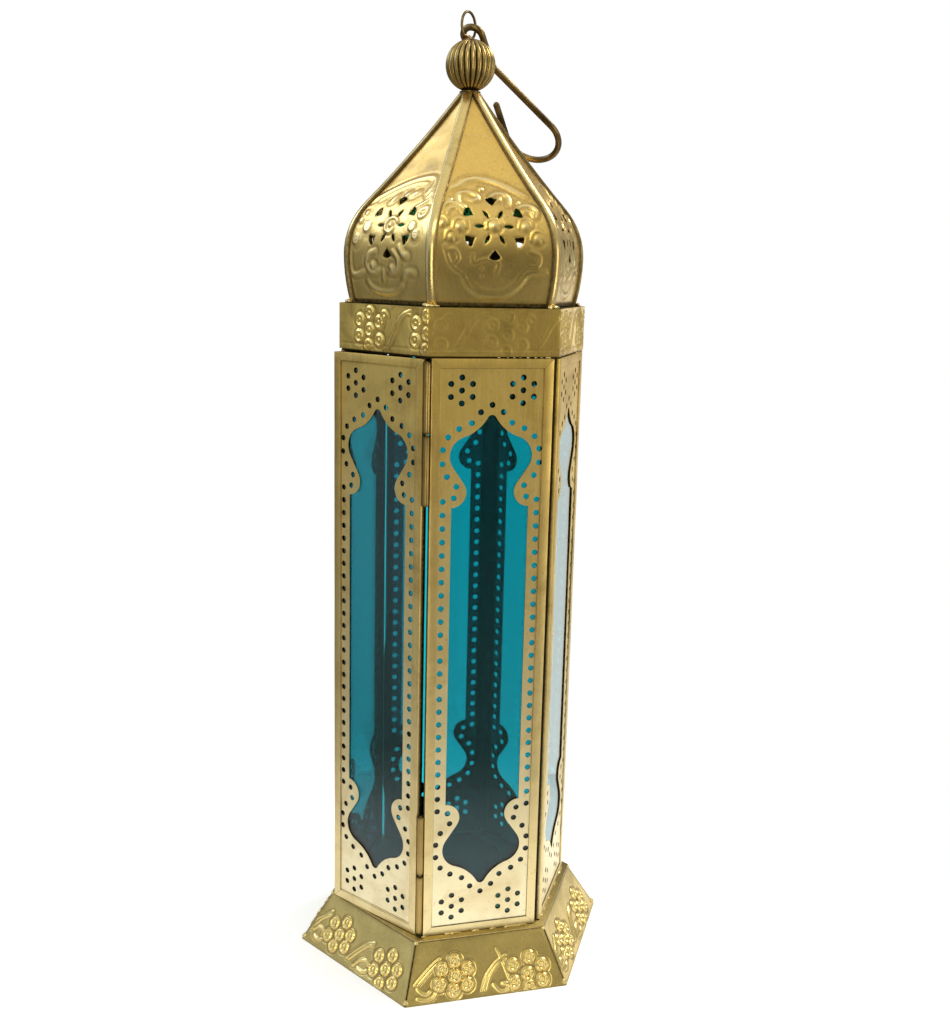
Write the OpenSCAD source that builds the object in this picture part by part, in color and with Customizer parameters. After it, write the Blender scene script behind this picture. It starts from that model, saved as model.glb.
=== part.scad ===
// Hexagonal brass candle lantern: six framed and pierced panels with tinted glass,
// one of them a hinged door, on a flared foot, under a band and an onion dome of six
// pierced gores with seam ribs, a fluted ball, a wire loop and a carrying hook.
// The front panel faces -Y, Z is up, and the origin is the middle of the foot.

/* [Body] */
// Distance across the body, over two opposite panels
body_flats = 94.4; // [90:0.2:100]
// Height of a side panel
panel_h = 248.6; // [236:0.2:262]
// Gap between the inner corners of two panels that stand side by side
corner_gap = 0.35; // [0.3:0.05:0.8]
// Width that the frame channel shows round a panel
lip_w = 3.9; // [3.4:0.1:4.3]
// Thickness of the folded frame channel
channel_t = 0.5; // [0.4:0.05:0.7]
// Thickness of the pierced sheet
fret_t = 0.5; // [0.4:0.05:0.8]
// Thickness of the glass
glass_t = 1.5; // [1.2:0.1:2.5]
// Play of the glass between the pierced sheet and the back of the channel
pane_play = 0.2; // [0.1:0.05:0.4]

/* [Piercing] */
// Width of the window over its two round shoulders
window_w = 34.4; // [31:0.2:35.4]
// Metal left above and below the window, within the height of the panel
window_margin = 22.4; // [21.6:0.2:26]
// Diameter of the small punched holes
hole_d = 2.45; // [1.8:0.05:2.7]
// Spacing of the holes in the two upright rows
row_pitch = 5.58; // [4.5:0.02:7]
// Distance from the edge of the frame to the middle of an upright row
row_inset = 1.55; // [1.3:0.05:1.8]
// Radius of the ring of six holes in a corner flower
flower_r = 5.15; // [4:0.05:5.4]
// Distance of a corner flower from the middle line of the panel
flower_out = 12.7; // [11.5:0.1:13.4]
// Height of a corner flower beyond the point of the window
flower_up = 9.8; // [9:0.1:10.6]

/* [Door] */
// How far the door stands open at rest, in degrees
door_ajar = 5; // [0:1:20]
// Gap above and below the door
door_clear = 0.4; // [0.3:0.1:1.5]
// Diameter of a hinge knuckle
knuckle_d = 2.7; // [2.4:0.1:3.4]
// Diameter of the hinge pins
pin_d = 1.5; // [1.2:0.1:1.7]
// Radial running clearance of a knuckle on its pin
pin_play = 0.05; // [0.02:0.01:0.08]
// Length of each knuckle of the upper hinge
upper_knuckle_h = 28.1; // [20:0.1:34]
// Length of each knuckle of the lower hinge
lower_knuckle_h = 26.4; // [20:0.1:34]
// Gap between the two knuckles of a hinge
knuckle_gap = 1.1; // [0.4:0.1:2]
// Distance from the end of the panel to the door knuckle
knuckle_end = 1.6; // [1:0.1:3]

/* [Foot] */
// Height of the flared foot
foot_h = 21.6; // [18:0.2:26]
// How far the foot spreads beyond the ledge
foot_spread = 12.4; // [9:0.2:15]
// Width of the ledge round the body
ledge_w = 2.7; // [2.2:0.1:5]
// Thickness of the foot sheets
foot_t = 0.6; // [0.5:0.1:1]
// Thickness of the floor plate
floor_t = 1; // [0.8:0.1:1.5]
// Open seam between two foot sheets
foot_seam = 0.5; // [0.3:0.1:0.8]
// Inside diameter of the candle cup
cup_d = 40; // [39:0.5:46]
// Height of the candle cup
cup_h = 12; // [9:0.5:18]
// Wall of the candle cup
cup_t = 0.6; // [0.5:0.1:1]

/* [Band] */
// Height of the band under the dome
band_h = 18.9; // [16:0.1:24]
// Thickness of the band
band_t = 0.5; // [0.4:0.1:0.8]
// Height of the folded hem along the lower edge of the band
hem_h = 2.5; // [1.5:0.1:4]
// Thickness of the ring that ties the tops of the panels
tie_t = 0.8; // [0.6:0.1:1.4]
// How far the tie ring stands back behind the band
tie_inset = 0.8; // [0.6:0.05:0.9]
// Width of the tie ring, inwards from its edge
tie_w = 6; // [4:0.5:9]
// Thickness of the plate that carries the dome
seat_t = 0.5; // [0.5:0.1:1]
// Radius of the vent in the plate that carries the dome
vent_r = 35; // [28:0.5:38]

/* [Dome] */
// Height of the dome from its plate to the tips of its ribs
dome_h = 86.6; // [80:0.2:94]
// Half width of the dome over the ribs, at its foot
dome_foot = 43.6; // [42.6:0.1:44.2]
// Half width of the dome over the ribs, at its widest
dome_belly = 46.07; // [45.6:0.01:46.5]
// Height of the widest part
belly_z = 20.1; // [17:0.1:24]
// Radius of the shoulder of the dome
shoulder_r = 33; // [29:0.5:36]
// Angle through which the shoulder turns, in degrees
shoulder_turn = 40; // [37:0.5:42]
// Half width of the dome over the ribs, at the tip
dome_tip = 4.3; // [4:0.1:5]
// Thickness of a gore
gore_t = 0.5; // [0.4:0.05:0.8]
// Open seam between two gores
gore_seam = 0.3; // [0.2:0.05:0.6]
// Slot between the foot of a gore and the plate
gore_slot = 0.45; // [0.2:0.05:0.8]
// Width of a seam rib
rib_w = 4.2; // [3.6:0.1:4.6]
// Thickness of a seam rib
rib_t = 1.1; // [0.8:0.1:1.4]
// Solder line between a rib and the gores under it
rib_fit = 0.1; // [0.05:0.01:0.2]
// Height of the middle of the pierced rosette
rosette_z = 31.5; // [28:0.5:34]
// Radius of the ring of six slits
slit_ring = 6; // [5.2:0.1:6.6]
// Length of a slit
slit_l = 4.2; // [3:0.1:4.8]
// Width of a slit
slit_w = 1.5; // [1:0.1:2]
// Radius of the ring of six shield holes, at their points
shield_ring = 9.3; // [8.8:0.1:9.8]
// Length of a shield hole
shield_l = 3.5; // [2.6:0.1:4]

/* [Finial] */
// Diameter of the fluted ball
ball_d = 20.8; // [18:0.2:21]
// Depth of a flute
flute_depth = 1.1; // [0.6:0.1:1.6]
// Number of flutes
flutes = 24; // [16:2:28]
// Wall of the ball
ball_t = 0.6; // [0.5:0.1:1]
// Diameter of the neck collar
neck_d = 8.8; // [8:0.1:9.4]
// Thickness of the neck collar
neck_t = 0.7; // [0.5:0.1:1.2]
// Radius of the passage for the loop through neck and ball
passage_r = 1.85; // [1.8:0.05:2]
// Diameter of the loop wire
loop_wire = 1.1; // [0.9:0.1:1.2]
// Radius of the round of the loop, to the middle of its wire
loop_r = 5.5; // [5.3:0.1:5.8]
// Height of the loop above the ball, to the middle of its wire
loop_up = 10.55; // [10.4:0.05:11]
// Diameter of the hook wire
hook_wire = 2.8; // [2.4:0.1:3]
// Radius of the eye of the hook, to the middle of its wire
eye_r = 4.2; // [4.1:0.1:4.5]
// Length of the straight wire below the eye
hook_leg = 12.5; // [10:0.5:14]
// Length of the straight shank
hook_shank = 34.5; // [28:0.5:45]
// Radius of the crook, to the middle of its wire
crook_r = 12.2; // [10:0.2:14]
// Length of the straight tip
hook_tip = 18; // [10:0.5:22]

/* [Hidden] */
$fn = 48;

// One overrun serves every cut
over = 1;
// Half the angle that one side of the hexagon takes
half_side_angle = 30;

// Turn of each side of the hexagon from the front side, and of each corner from the
// corner between the door and the front
front_turn = 0;
front_right_turn = 2 * half_side_angle;
back_right_turn = 4 * half_side_angle;
back_turn = 6 * half_side_angle;
back_left_turn = 8 * half_side_angle;
door_side_turn = 10 * half_side_angle;

// Heights where one layer ends and the next begins
ledge_z = foot_h + floor_t;
panel_top = ledge_z + panel_h;
band_z = panel_top + tie_t;
dome_z = band_z + band_h;
neck_z = dome_z + dome_h;

// Body, measured from the middle to the flats
body_a = body_flats / 2;
frame_depth = 2 * channel_t + fret_t + glass_t + pane_play;
panel_w = 2 * (body_a - frame_depth) * tan(half_side_angle) - corner_gap / cos(half_side_angle);
floor_a = body_a + ledge_w;
sight_w = panel_w - 2 * lip_w;
// Edge play of glass and pierced sheet in the channel
edge_play = 0.2;
pane_w = panel_w - 2 * (channel_t + edge_play);

// Steps round a punched hole
hole_steps = 16;
// Window head, in shares of half its width: centre of the hollow curve below the point,
// which touches the bulge, then centre and radius of the bulge and of the metal lobe
window_half = window_w / 2;
ogee_share = [0.981, 0.45];
bulge_share = [0.535, -0.965, 0.465];
lobe_share = [0.942, -1.826, 0.36];
// Holes that follow the head of the window, as shares of half its width from its point
head_hole_shares = [
    [0.273, 0.064], [0.488, -0.186], [0.791, -0.32], [1.047, -0.512], [1.169, -0.808],
    [1.174, -1.14], [1.058, -1.442], [0.826, -1.68], [0.884, -1.953],
];
point_hole_share = 0.233;

// Hinge between the door and the front panel, in the notch at their corner
knuckle_play = 0.15;
leaf_t = 0.45;
leaf_l = 1.5;
hinge_from_web = knuckle_d / 2 + knuckle_play;
hinge_r = panel_w + hinge_from_web / sin(half_side_angle);
pin_head = 0.4;

// Dome profile over the ribs, in the middle plane of a side, up from the dome plate
belly_r = (belly_z * belly_z + pow(dome_belly - dome_foot, 2)) / (2 * (dome_belly - dome_foot));
flank_a = dome_belly - shoulder_r * (1 - cos(shoulder_turn));
flank_z = belly_z + shoulder_r * sin(shoulder_turn);
flank_chord = norm([flank_a - dome_tip, dome_h - flank_z]);
flank_rise = atan2(dome_h - flank_z, flank_a - dome_tip);
flank_bow = flank_rise - (90 - shoulder_turn);
flank_r = flank_chord / (2 * sin(flank_bow));
gore_inset = rib_t + rib_fit;
rib_root = rib_w / 2 / tan(half_side_angle) + rib_fit;
rosette_turn = asin((rosette_z - belly_z) / (shoulder_r - gore_inset));
rosette_a = dome_belly - shoulder_r + (shoulder_r - gore_inset) * cos(rosette_turn);
slit_round = (slit_l * slit_l + slit_w * slit_w) / (4 * slit_w);
shield_half = 40;

// Finial
ball_r = ball_d / 2;
ball_seat = 0.05;
ball_z = neck_z + neck_t + ball_seat + sqrt(ball_r * ball_r - passage_r * passage_r);
loop_legs = passage_r - loop_wire / 2 - rib_fit;
loop_turn = 45;
loop_gap = 80;
loop_lean = 1.1;
loop_lean_turn = 165;
loop_centre = [loop_lean * cos(loop_lean_turn), loop_lean * sin(loop_lean_turn),
    ball_z + ball_r + loop_up - loop_r];
plug_play = 0.3;
plug_h = 3.5;

// Place of the hook's eye on the loop and the slope on which the hook lies
eye_on_loop = -29;
eye_out = 0.6;
eye_aside = 1;
hook_turn = 50;
hook_slope = 45;
elbow_r = 8;
elbow_turn = 31;
eye_end_gap = 0.15;
eye_wrap = 360 - acos(1 - (hook_wire + eye_end_gap) / eye_r);
crook_wrap = 211;
joint_over = 0.06;
joint_gap = 0.15;
eye_centre = loop_centre
    + (loop_r + eye_out) * (cos(eye_on_loop) * loop_along() + [0, 0, sin(eye_on_loop)])
    - eye_aside * loop_across();

pale_brass = [0.87, 0.80, 0.60];
brass = [0.76, 0.64, 0.36];
gold_brass = [0.84, 0.67, 0.32];
old_wire = [0.36, 0.29, 0.20];
blue_glass = [0.0, 0.55, 0.64, 0.6];

// Horizontal directions along and across the plane of the loop
function loop_along() = [cos(loop_turn), sin(loop_turn), 0];
function loop_across() = [sin(loop_turn), -cos(loop_turn), 0];

// Points on an arc about c, from angle a to angle b
function arc(c, r, a, b, n) =
    [for (i = [0:n]) c + r * [cos(a + (b - a) * i / n), sin(a + (b - a) * i / n)]];

function reversed(list) = [for (i = [len(list) - 1:-1:0]) list[i]];
function past_first(list) = [for (i = [1:len(list) - 1]) list[i]];

// Dome profile moved inwards by inset, from height low upwards
function dome_curve(inset, low) = concat(
    arc([dome_belly - belly_r, belly_z], belly_r - inset,
        -asin((belly_z - low) / (belly_r - inset)), 0, 5),
    arc([dome_belly - shoulder_r, belly_z], shoulder_r - inset, shoulder_turn / 8,
        shoulder_turn, 7),
    arc([flank_a + flank_r * cos(shoulder_turn), flank_z + flank_r * sin(shoulder_turn)],
        flank_r + inset, 180 + shoulder_turn - 2 * flank_bow / 7,
        180 + shoulder_turn - 2 * flank_bow, 6));

// Right half of the window head, from its point down to the straight side
function head_half() =
    let (ogee = ogee_share, bulge = [bulge_share[0], bulge_share[1]],
         lobe = [lobe_share[0], lobe_share[1]],
         ogee_r = norm(bulge - ogee) - bulge_share[2],
         tip_r = (ogee * ogee - ogee_r * ogee_r) / (2 * (ogee_r - ogee[1])),
         to_ogee = atan2(ogee[1] + tip_r, ogee[0]),
         tip_step = (90 - to_ogee) / 4.5,
         to_bulge = atan2(bulge[1] - ogee[1], bulge[0] - ogee[0]),
         apart = norm(lobe - bulge),
         to_lobe = atan2(lobe[1] - bulge[1], lobe[0] - bulge[0]),
         cross = acos((bulge_share[2] + lobe_share[2]) / apart))
    window_half * concat(
        arc([0, -tip_r], tip_r, 90 - tip_step / 2, to_ogee + tip_step, 3),
        arc(ogee, ogee_r, 180 + to_ogee, 360 + to_bulge, 8),
        past_first(arc(bulge, bulge_share[2], to_bulge + 180, to_lobe + cross, 12)),
        arc(lobe, lobe_share[2], to_lobe + 180 + cross, 270, 12));

// Turns what is drawn for the front side to another side
module on_side(turn) rotate([0, 0, turn]) children();

module hexagon_plate(apothem, h) cylinder(r = apothem / cos(half_side_angle), h = h, $fn = 6);

// Bar along a side whose section is given as distance out and height
module side_bar(section, l)
    rotate([90, 0, -90]) linear_extrude(l, center = true) polygon(section);

// The wedge that belongs to the front side, drawn back from both corners by a gap
module side_wedge(reach, h, gap)
    translate([0, -gap, 0]) linear_extrude(h) polygon([[0, 0],
        [-reach * tan(half_side_angle), -reach], [reach * tan(half_side_angle), -reach]]);

module skirt() {
    slant = norm([foot_spread, foot_h]);
    thick = foot_t * slant / foot_h;
    section = [[floor_a + foot_spread, 0], [floor_a, foot_h], [floor_a - thick, foot_h],
        [floor_a + foot_spread - thick, 0]];
    reach = floor_a + foot_spread + over;
    intersection() {
        side_bar(section, 2 * reach);
        side_wedge(reach, foot_h, foot_seam);
    }
}

module floor_plate()
    color(brass) translate([0, 0, foot_h]) hexagon_plate(floor_a, floor_t);

module candle_cup() color(brass) translate([0, 0, ledge_z]) {
    difference() {
        cylinder(d = cup_d + 2 * cup_t, h = cup_h);
        translate([0, 0, cup_t]) cylinder(d = cup_d, h = cup_h);
    }
    translate([0, 0, cup_h]) rotate_extrude()
        translate([cup_d / 2 + cup_t, 0]) circle(r = cup_t);
}

// Folded channel round a panel, mitred and soldered at its corners
module panel_frame(h) {
    cavity_w = panel_w - 2 * channel_t;
    translate([0, -body_a, 0]) difference() {
        translate([-panel_w / 2, 0, 0]) cube([panel_w, frame_depth, h]);
        translate([-cavity_w / 2, channel_t, channel_t])
            cube([cavity_w, frame_depth - 2 * channel_t, h - 2 * channel_t]);
        translate([-sight_w / 2, -over, lip_w])
            cube([sight_w, frame_depth + 2 * over, h - 2 * lip_w]);
    }
}

module window_outline(half_l) {
    top = [for (p = head_half()) [p[0], p[1] + half_l]];
    side = concat(top, [for (p = reversed(top)) [p[0], -p[1]]]);
    polygon(concat(side, [for (p = reversed(side)) [-p[0], p[1]]]));
}

module punched_hole() circle(d = hole_d, $fn = hole_steps);

module hole_pair(x, y) for (s = [-1, 1]) translate([s * x, y]) punched_hole();

// The four quarters of the punched pattern, which mirrors about both middle lines
module punched_holes(half_l) {
    row_x = sight_w / 2 - row_inset;
    reach = half_l + head_hole_shares[8][1] * window_half;
    rows = floor(reach / row_pitch);
    for (i = [-rows:rows]) hole_pair(row_x, i * row_pitch);
    for (s = [-1, 1]) {
        translate([0, s * (half_l + point_hole_share * window_half)]) punched_hole();
        for (p = head_hole_shares)
            hole_pair(p[0] * window_half, s * (half_l + p[1] * window_half));
        for (x = [-1, 1]) translate([x * flower_out, s * (half_l + flower_up)]) {
            punched_hole();
            for (i = [0:5]) rotate(half_side_angle + 60 * i) translate([flower_r, 0]) punched_hole();
        }
    }
}

// Sheet pierced with a pointed window, rows of holes and corner flowers
module fretwork(h) {
    half_l = panel_h / 2 - window_margin;
    pane_h = h - 2 * (channel_t + edge_play);
    translate([0, fret_t + channel_t - body_a, h / 2]) rotate([90, 0, 0]) difference() {
        translate([-pane_w / 2, -pane_h / 2, 0]) cube([pane_w, pane_h, fret_t]);
        translate([0, 0, -over]) linear_extrude(fret_t + 2 * over) {
            window_outline(half_l);
            punched_holes(half_l);
        }
    }
}

module glass(h) {
    pane_h = h - 2 * (channel_t + edge_play);
    translate([-pane_w / 2, channel_t + fret_t - body_a, channel_t + edge_play])
        cube([pane_w, glass_t, pane_h]);
}

// Carries what is drawn for a closed door to where the door stands at rest
module at_door() {
    place = hinge_r * [cos(-90 - half_side_angle), sin(-90 - half_side_angle), 0];
    translate(place) rotate([0, 0, door_ajar]) translate(-place)
        rotate([0, 0, -2 * half_side_angle]) children();
}

// Rolled knuckle with its soldered leaf, for the left edge of the front panel
module knuckle(h) {
    rotate([0, 0, -90 - half_side_angle]) translate([hinge_r, 0, 0]) rotate([0, 0, 90 + half_side_angle])
        difference() {
            union() {
                cylinder(d = knuckle_d, h = h);
                translate([knuckle_d / 2 - leaf_t, 0, 0]) cube([leaf_t + knuckle_play, leaf_l, h]);
            }
            translate([0, 0, -over]) cylinder(r = pin_d / 2 + pin_play, h = h + 2 * over);
        }
}

module hinge_pin(h)
    rotate([0, 0, -90 - half_side_angle]) translate([hinge_r, 0, -pin_head])
        cylinder(d = pin_d, h = h + 2 * pin_head);

module tie_ring() color(brass) translate([0, 0, panel_top]) difference() {
    hexagon_plate(body_a - tie_inset, tie_t);
    translate([0, 0, -over]) hexagon_plate(body_a - tie_inset - tie_w, tie_t + 2 * over);
}

module band() color(brass) translate([0, 0, band_z]) difference() {
    hexagon_plate(body_a, band_h);
    translate([0, 0, hem_h]) hexagon_plate(body_a - band_t, band_h);
    translate([0, 0, -over]) hexagon_plate(body_a - 2 * band_t, band_h);
}

module dome_plate() color(brass) translate([0, 0, dome_z - seat_t]) difference() {
    hexagon_plate(body_a - band_t, seat_t);
    translate([0, 0, -over]) cylinder(r = vent_r, h = seat_t + 2 * over);
}

// Slits and shield holes of a rosette, drawn flat
module rosette() for (i = [0:5]) {
    rotate(60 * i) translate([slit_ring, 0]) intersection() {
        translate([0, slit_round - slit_w / 2]) circle(r = slit_round);
        translate([0, slit_w / 2 - slit_round]) circle(r = slit_round);
    }
    rotate(half_side_angle + 60 * i) translate([shield_ring, 0])
        polygon(concat([[0, 0]], arc([0, 0], shield_l, -shield_half, shield_half, 8)));
}

module gore() {
    section = concat(dome_curve(gore_inset, gore_slot),
        reversed(dome_curve(gore_inset + gore_t, gore_slot)));
    depth = shield_l + 2 * over;
    translate([0, 0, dome_z]) difference() {
        intersection() {
            side_bar(section, 2 * dome_belly);
            side_wedge(dome_belly + over, dome_h, gore_seam);
        }
        translate([0, -rosette_a, rosette_z]) rotate([90 - rosette_turn, 0, 0])
            translate([0, 0, -depth]) linear_extrude(2 * depth) rosette();
    }
}

// Seam strip bent over the corner between the door side and the front
module rib() {
    outer = concat(dome_curve(0, 0), [[0, dome_h], [0, 0]]);
    inner_curve = dome_curve(rib_t, 0);
    inner_top = inner_curve[len(inner_curve) - 1];
    inner = concat(inner_curve, [[0, inner_top[1]], [0, 0]]);
    translate([0, 0, dome_z]) intersection() {
        difference() {
            both_sides(outer);
            both_sides(inner);
        }
        rotate([0, 0, -90 - half_side_angle]) translate([rib_root, -rib_w / 2, -over])
            cube([2 * dome_belly, rib_w, dome_h + 2 * over]);
    }
}

// What lies inside a profile on the front side and on the door side at once
module both_sides(section) intersection() {
    side_bar(section, 4 * dome_belly);
    rotate([0, 0, -2 * half_side_angle]) side_bar(section, 4 * dome_belly);
}

module neck_collar() color(old_wire) {
    plug_r = (dome_tip - (gore_inset + gore_t) * cos(shoulder_turn) - plug_play);
    translate([0, 0, neck_z]) difference() {
        union() {
            cylinder(d = neck_d, h = neck_t);
            translate([0, 0, -plug_h]) cylinder(r = plug_r, h = plug_h + over / 2);
        }
        translate([0, 0, -plug_h - over]) cylinder(r = passage_r, h = plug_h + neck_t + 2 * over);
    }
}

// Ring k of the ball's shell, from the lower hole up outside and back down inside
outer_rings = 14;
inner_rings = 7;
function ball_ring(k) =
    let (inside = k > outer_rings,
         r = inside ? ball_r - flute_depth - ball_t : ball_r,
         edge = asin(passage_r / r),
         t = inside ? 1 - (k - outer_rings - 1) / inner_rings : k / outer_rings,
         polar = edge + (180 - 2 * edge) * t,
         cut = inside ? 0 : flute_depth * min(1, 2.2 * (sin(polar) - sin(edge))))
    [for (j = [0:4 * flutes - 1])
        let (rr = r - cut * (1 - cos(90 * j)) / 2, a = 360 * j / (4 * flutes))
        [rr * sin(polar) * cos(a), rr * sin(polar) * sin(a), -rr * cos(polar)]];

module finial_ball() color(brass) translate([0, 0, ball_z]) {
    rings = outer_rings + inner_rings + 2;
    around = 4 * flutes;
    points = [for (k = [0:rings - 1]) each ball_ring(k)];
    faces = [for (k = [0:rings - 1], j = [0:around - 1])
        let (k2 = (k + 1) % rings, j2 = (j + 1) % around,
             a = k * around + j, b = k * around + j2, c = k2 * around + j2, d = k2 * around + j)
        each [[a, c, b], [a, d, c]]];
    polyhedron(points, faces);
}

// A ball a hair thicker than the wire closes the joint between a straight and a bend
module joint(d) sphere(d = d + joint_over);

// Straight wire along +X, then a turn to the left or right, each carrying what follows
module wire(l, d) {
    translate([joint_gap, 0, 0]) rotate([0, 90, 0]) cylinder(d = d, h = l - 2 * joint_gap);
    translate([l, 0, 0]) {
        joint(d);
        children();
    }
}

module left_turn(r, turn, d) {
    translate([0, r, 0]) rotate([0, 0, -90]) rotate_extrude(angle = turn)
        translate([r, 0]) circle(d = d);
    translate([0, r, 0]) rotate([0, 0, turn]) translate([0, -r, 0]) {
        joint(d);
        children();
    }
}

module right_turn(r, turn, d) {
    translate([0, -r, 0]) rotate([0, 0, 90 - turn]) rotate_extrude(angle = turn)
        translate([r, 0]) circle(d = d);
    translate([0, -r, 0]) rotate([0, 0, -turn]) translate([0, r, 0]) {
        joint(d);
        children();
    }
}

// Straight wire from point p, where a joint ends the bend before it, to point q
module rod(p, q, d) {
    v = q - p;
    translate(p) {
        joint(d);
        rotate([0, acos(v[2] / norm(v)), atan2(v[1], v[0])]) translate([0, 0, joint_gap])
            cylinder(d = d, h = norm(v) - 2 * joint_gap);
    }
}

module loop() color(old_wire) {
    low = -90 + loop_gap / 2;
    shoulder_z = ball_z + ball_r + loop_wire / 2 + rib_fit;
    translate(loop_centre) rotate([90, 0, loop_turn]) rotate([0, 0, low])
        rotate_extrude(angle = 360 - loop_gap) translate([loop_r, 0]) circle(d = loop_wire);
    for (s = [-1, 1]) {
        end = loop_centre + loop_r * (s * cos(low) * loop_along() + [0, 0, sin(low)]);
        bend = s * loop_legs * loop_along() + [0, 0, shoulder_z];
        rod(end, bend, loop_wire);
        rod(bend, s * loop_legs * loop_along() + [0, 0, neck_z - plug_h], loop_wire);
    }
}

module hook() color(old_wire)
    translate(eye_centre) rotate([0, 0, hook_turn - 90]) rotate([180 - hook_slope, 0, 0])
        rotate([0, 0, eye_wrap - 90]) translate([0, eye_r, 0])
            right_turn(eye_r, eye_wrap, hook_wire)
                wire(hook_leg, hook_wire)
                    left_turn(elbow_r, elbow_turn, hook_wire)
                        wire(hook_shank, hook_wire)
                            right_turn(crook_r, crook_wrap, hook_wire)
                                wire(hook_tip, hook_wire);

module skirt_front() color(pale_brass) on_side(front_turn) skirt();
module skirt_front_right() color(pale_brass) on_side(front_right_turn) skirt();
module skirt_back_right() color(pale_brass) on_side(back_right_turn) skirt();
module skirt_back() color(pale_brass) on_side(back_turn) skirt();
module skirt_back_left() color(pale_brass) on_side(back_left_turn) skirt();
module skirt_door() color(pale_brass) on_side(door_side_turn) skirt();

module fixed_frame(turn)
    color(pale_brass) on_side(turn) translate([0, 0, ledge_z]) panel_frame(panel_h);
module fixed_fretwork(turn)
    color(pale_brass) on_side(turn) translate([0, 0, ledge_z]) fretwork(panel_h);
module fixed_glass(turn)
    color(blue_glass) on_side(turn) translate([0, 0, ledge_z]) glass(panel_h);

module frame_front() fixed_frame(front_turn);
module frame_front_right() fixed_frame(front_right_turn);
module frame_back_right() fixed_frame(back_right_turn);
module frame_back() fixed_frame(back_turn);
module frame_back_left() fixed_frame(back_left_turn);

module fretwork_front() fixed_fretwork(front_turn);
module fretwork_front_right() fixed_fretwork(front_right_turn);
module fretwork_back_right() fixed_fretwork(back_right_turn);
module fretwork_back() fixed_fretwork(back_turn);
module fretwork_back_left() fixed_fretwork(back_left_turn);

module glass_front() fixed_glass(front_turn);
module glass_front_right() fixed_glass(front_right_turn);
module glass_back_right() fixed_glass(back_right_turn);
module glass_back() fixed_glass(back_turn);
module glass_back_left() fixed_glass(back_left_turn);

door_h = panel_h - 2 * door_clear;
module door_frame()
    color(pale_brass) at_door() translate([0, 0, ledge_z + door_clear]) panel_frame(door_h);
module door_fretwork()
    color(pale_brass) at_door() translate([0, 0, ledge_z + door_clear]) fretwork(door_h);
module door_glass()
    color(blue_glass) at_door() translate([0, 0, ledge_z + door_clear]) glass(door_h);

// The door's knuckles sit at its ends, and the fixed ones next to them
upper_door_z = panel_top - knuckle_end - upper_knuckle_h;
upper_fixed_z = upper_door_z - knuckle_gap - upper_knuckle_h;
lower_door_z = ledge_z + knuckle_end;
lower_fixed_z = lower_door_z + lower_knuckle_h + knuckle_gap;

// Mirrors the front panel's knuckle onto the door's edge, then swings it with the door
module door_knuckle(z, h) {
    place = hinge_r * [cos(-90 - half_side_angle), sin(-90 - half_side_angle), 0];
    color(brass) translate([place[0], place[1], z]) rotate([0, 0, door_ajar]) translate(-place)
        rotate([0, 0, -90 - half_side_angle]) mirror([0, 1, 0]) rotate([0, 0, 90 + half_side_angle])
            knuckle(h);
}
module door_knuckle_upper() door_knuckle(upper_door_z, upper_knuckle_h);
module door_knuckle_lower() door_knuckle(lower_door_z, lower_knuckle_h);
module fixed_knuckle_upper()
    color(brass) translate([0, 0, upper_fixed_z]) knuckle(upper_knuckle_h);
module fixed_knuckle_lower()
    color(brass) translate([0, 0, lower_fixed_z]) knuckle(lower_knuckle_h);
module hinge_pin_upper()
    color(old_wire) translate([0, 0, upper_fixed_z]) hinge_pin(2 * upper_knuckle_h + knuckle_gap);
module hinge_pin_lower()
    color(old_wire) translate([0, 0, lower_door_z]) hinge_pin(2 * lower_knuckle_h + knuckle_gap);

module gore_front() color(gold_brass) on_side(front_turn) gore();
module gore_front_right() color(gold_brass) on_side(front_right_turn) gore();
module gore_back_right() color(gold_brass) on_side(back_right_turn) gore();
module gore_back() color(gold_brass) on_side(back_turn) gore();
module gore_back_left() color(gold_brass) on_side(back_left_turn) gore();
module gore_door() color(gold_brass) on_side(door_side_turn) gore();

module rib_front_left() color(brass) on_side(front_turn) rib();
module rib_front_right() color(brass) on_side(front_right_turn) rib();
module rib_right() color(brass) on_side(back_right_turn) rib();
module rib_back_right() color(brass) on_side(back_turn) rib();
module rib_back_left() color(brass) on_side(back_left_turn) rib();
module rib_left() color(brass) on_side(door_side_turn) rib();

floor_plate();
candle_cup();
skirt_front();
skirt_front_right();
skirt_back_right();
skirt_back();
skirt_back_left();
skirt_door();
frame_front();
frame_front_right();
frame_back_right();
frame_back();
frame_back_left();
fretwork_front();
fretwork_front_right();
fretwork_back_right();
fretwork_back();
fretwork_back_left();
glass_front();
glass_front_right();
glass_back_right();
glass_back();
glass_back_left();
door_frame();
door_fretwork();
door_glass();
door_knuckle_upper();
door_knuckle_lower();
fixed_knuckle_upper();
fixed_knuckle_lower();
hinge_pin_upper();
hinge_pin_lower();
tie_ring();
band();
dome_plate();
gore_front();
gore_front_right();
gore_back_right();
gore_back();
gore_back_left();
gore_door();
rib_front_left();
rib_front_right();
rib_right();
rib_back_right();
rib_back_left();
rib_left();
neck_collar();
finial_ball();
loop();
hook();
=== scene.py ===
"""Looks of a six-sided pierced brass lantern with tinted glass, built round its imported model.

Lengths are written in millimetres and turned to metres where a mesh is made. The front
side faces -Y, Z is up, and side k is the front side turned by 60 k degrees about Z.
"""

import logging
import math
from contextlib import contextmanager
from dataclasses import dataclass, field
from enum import Enum
from typing import Iterator, Sequence

import bmesh
import bpy
import numpy as np
from mathutils import Matrix, Vector, noise


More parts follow.
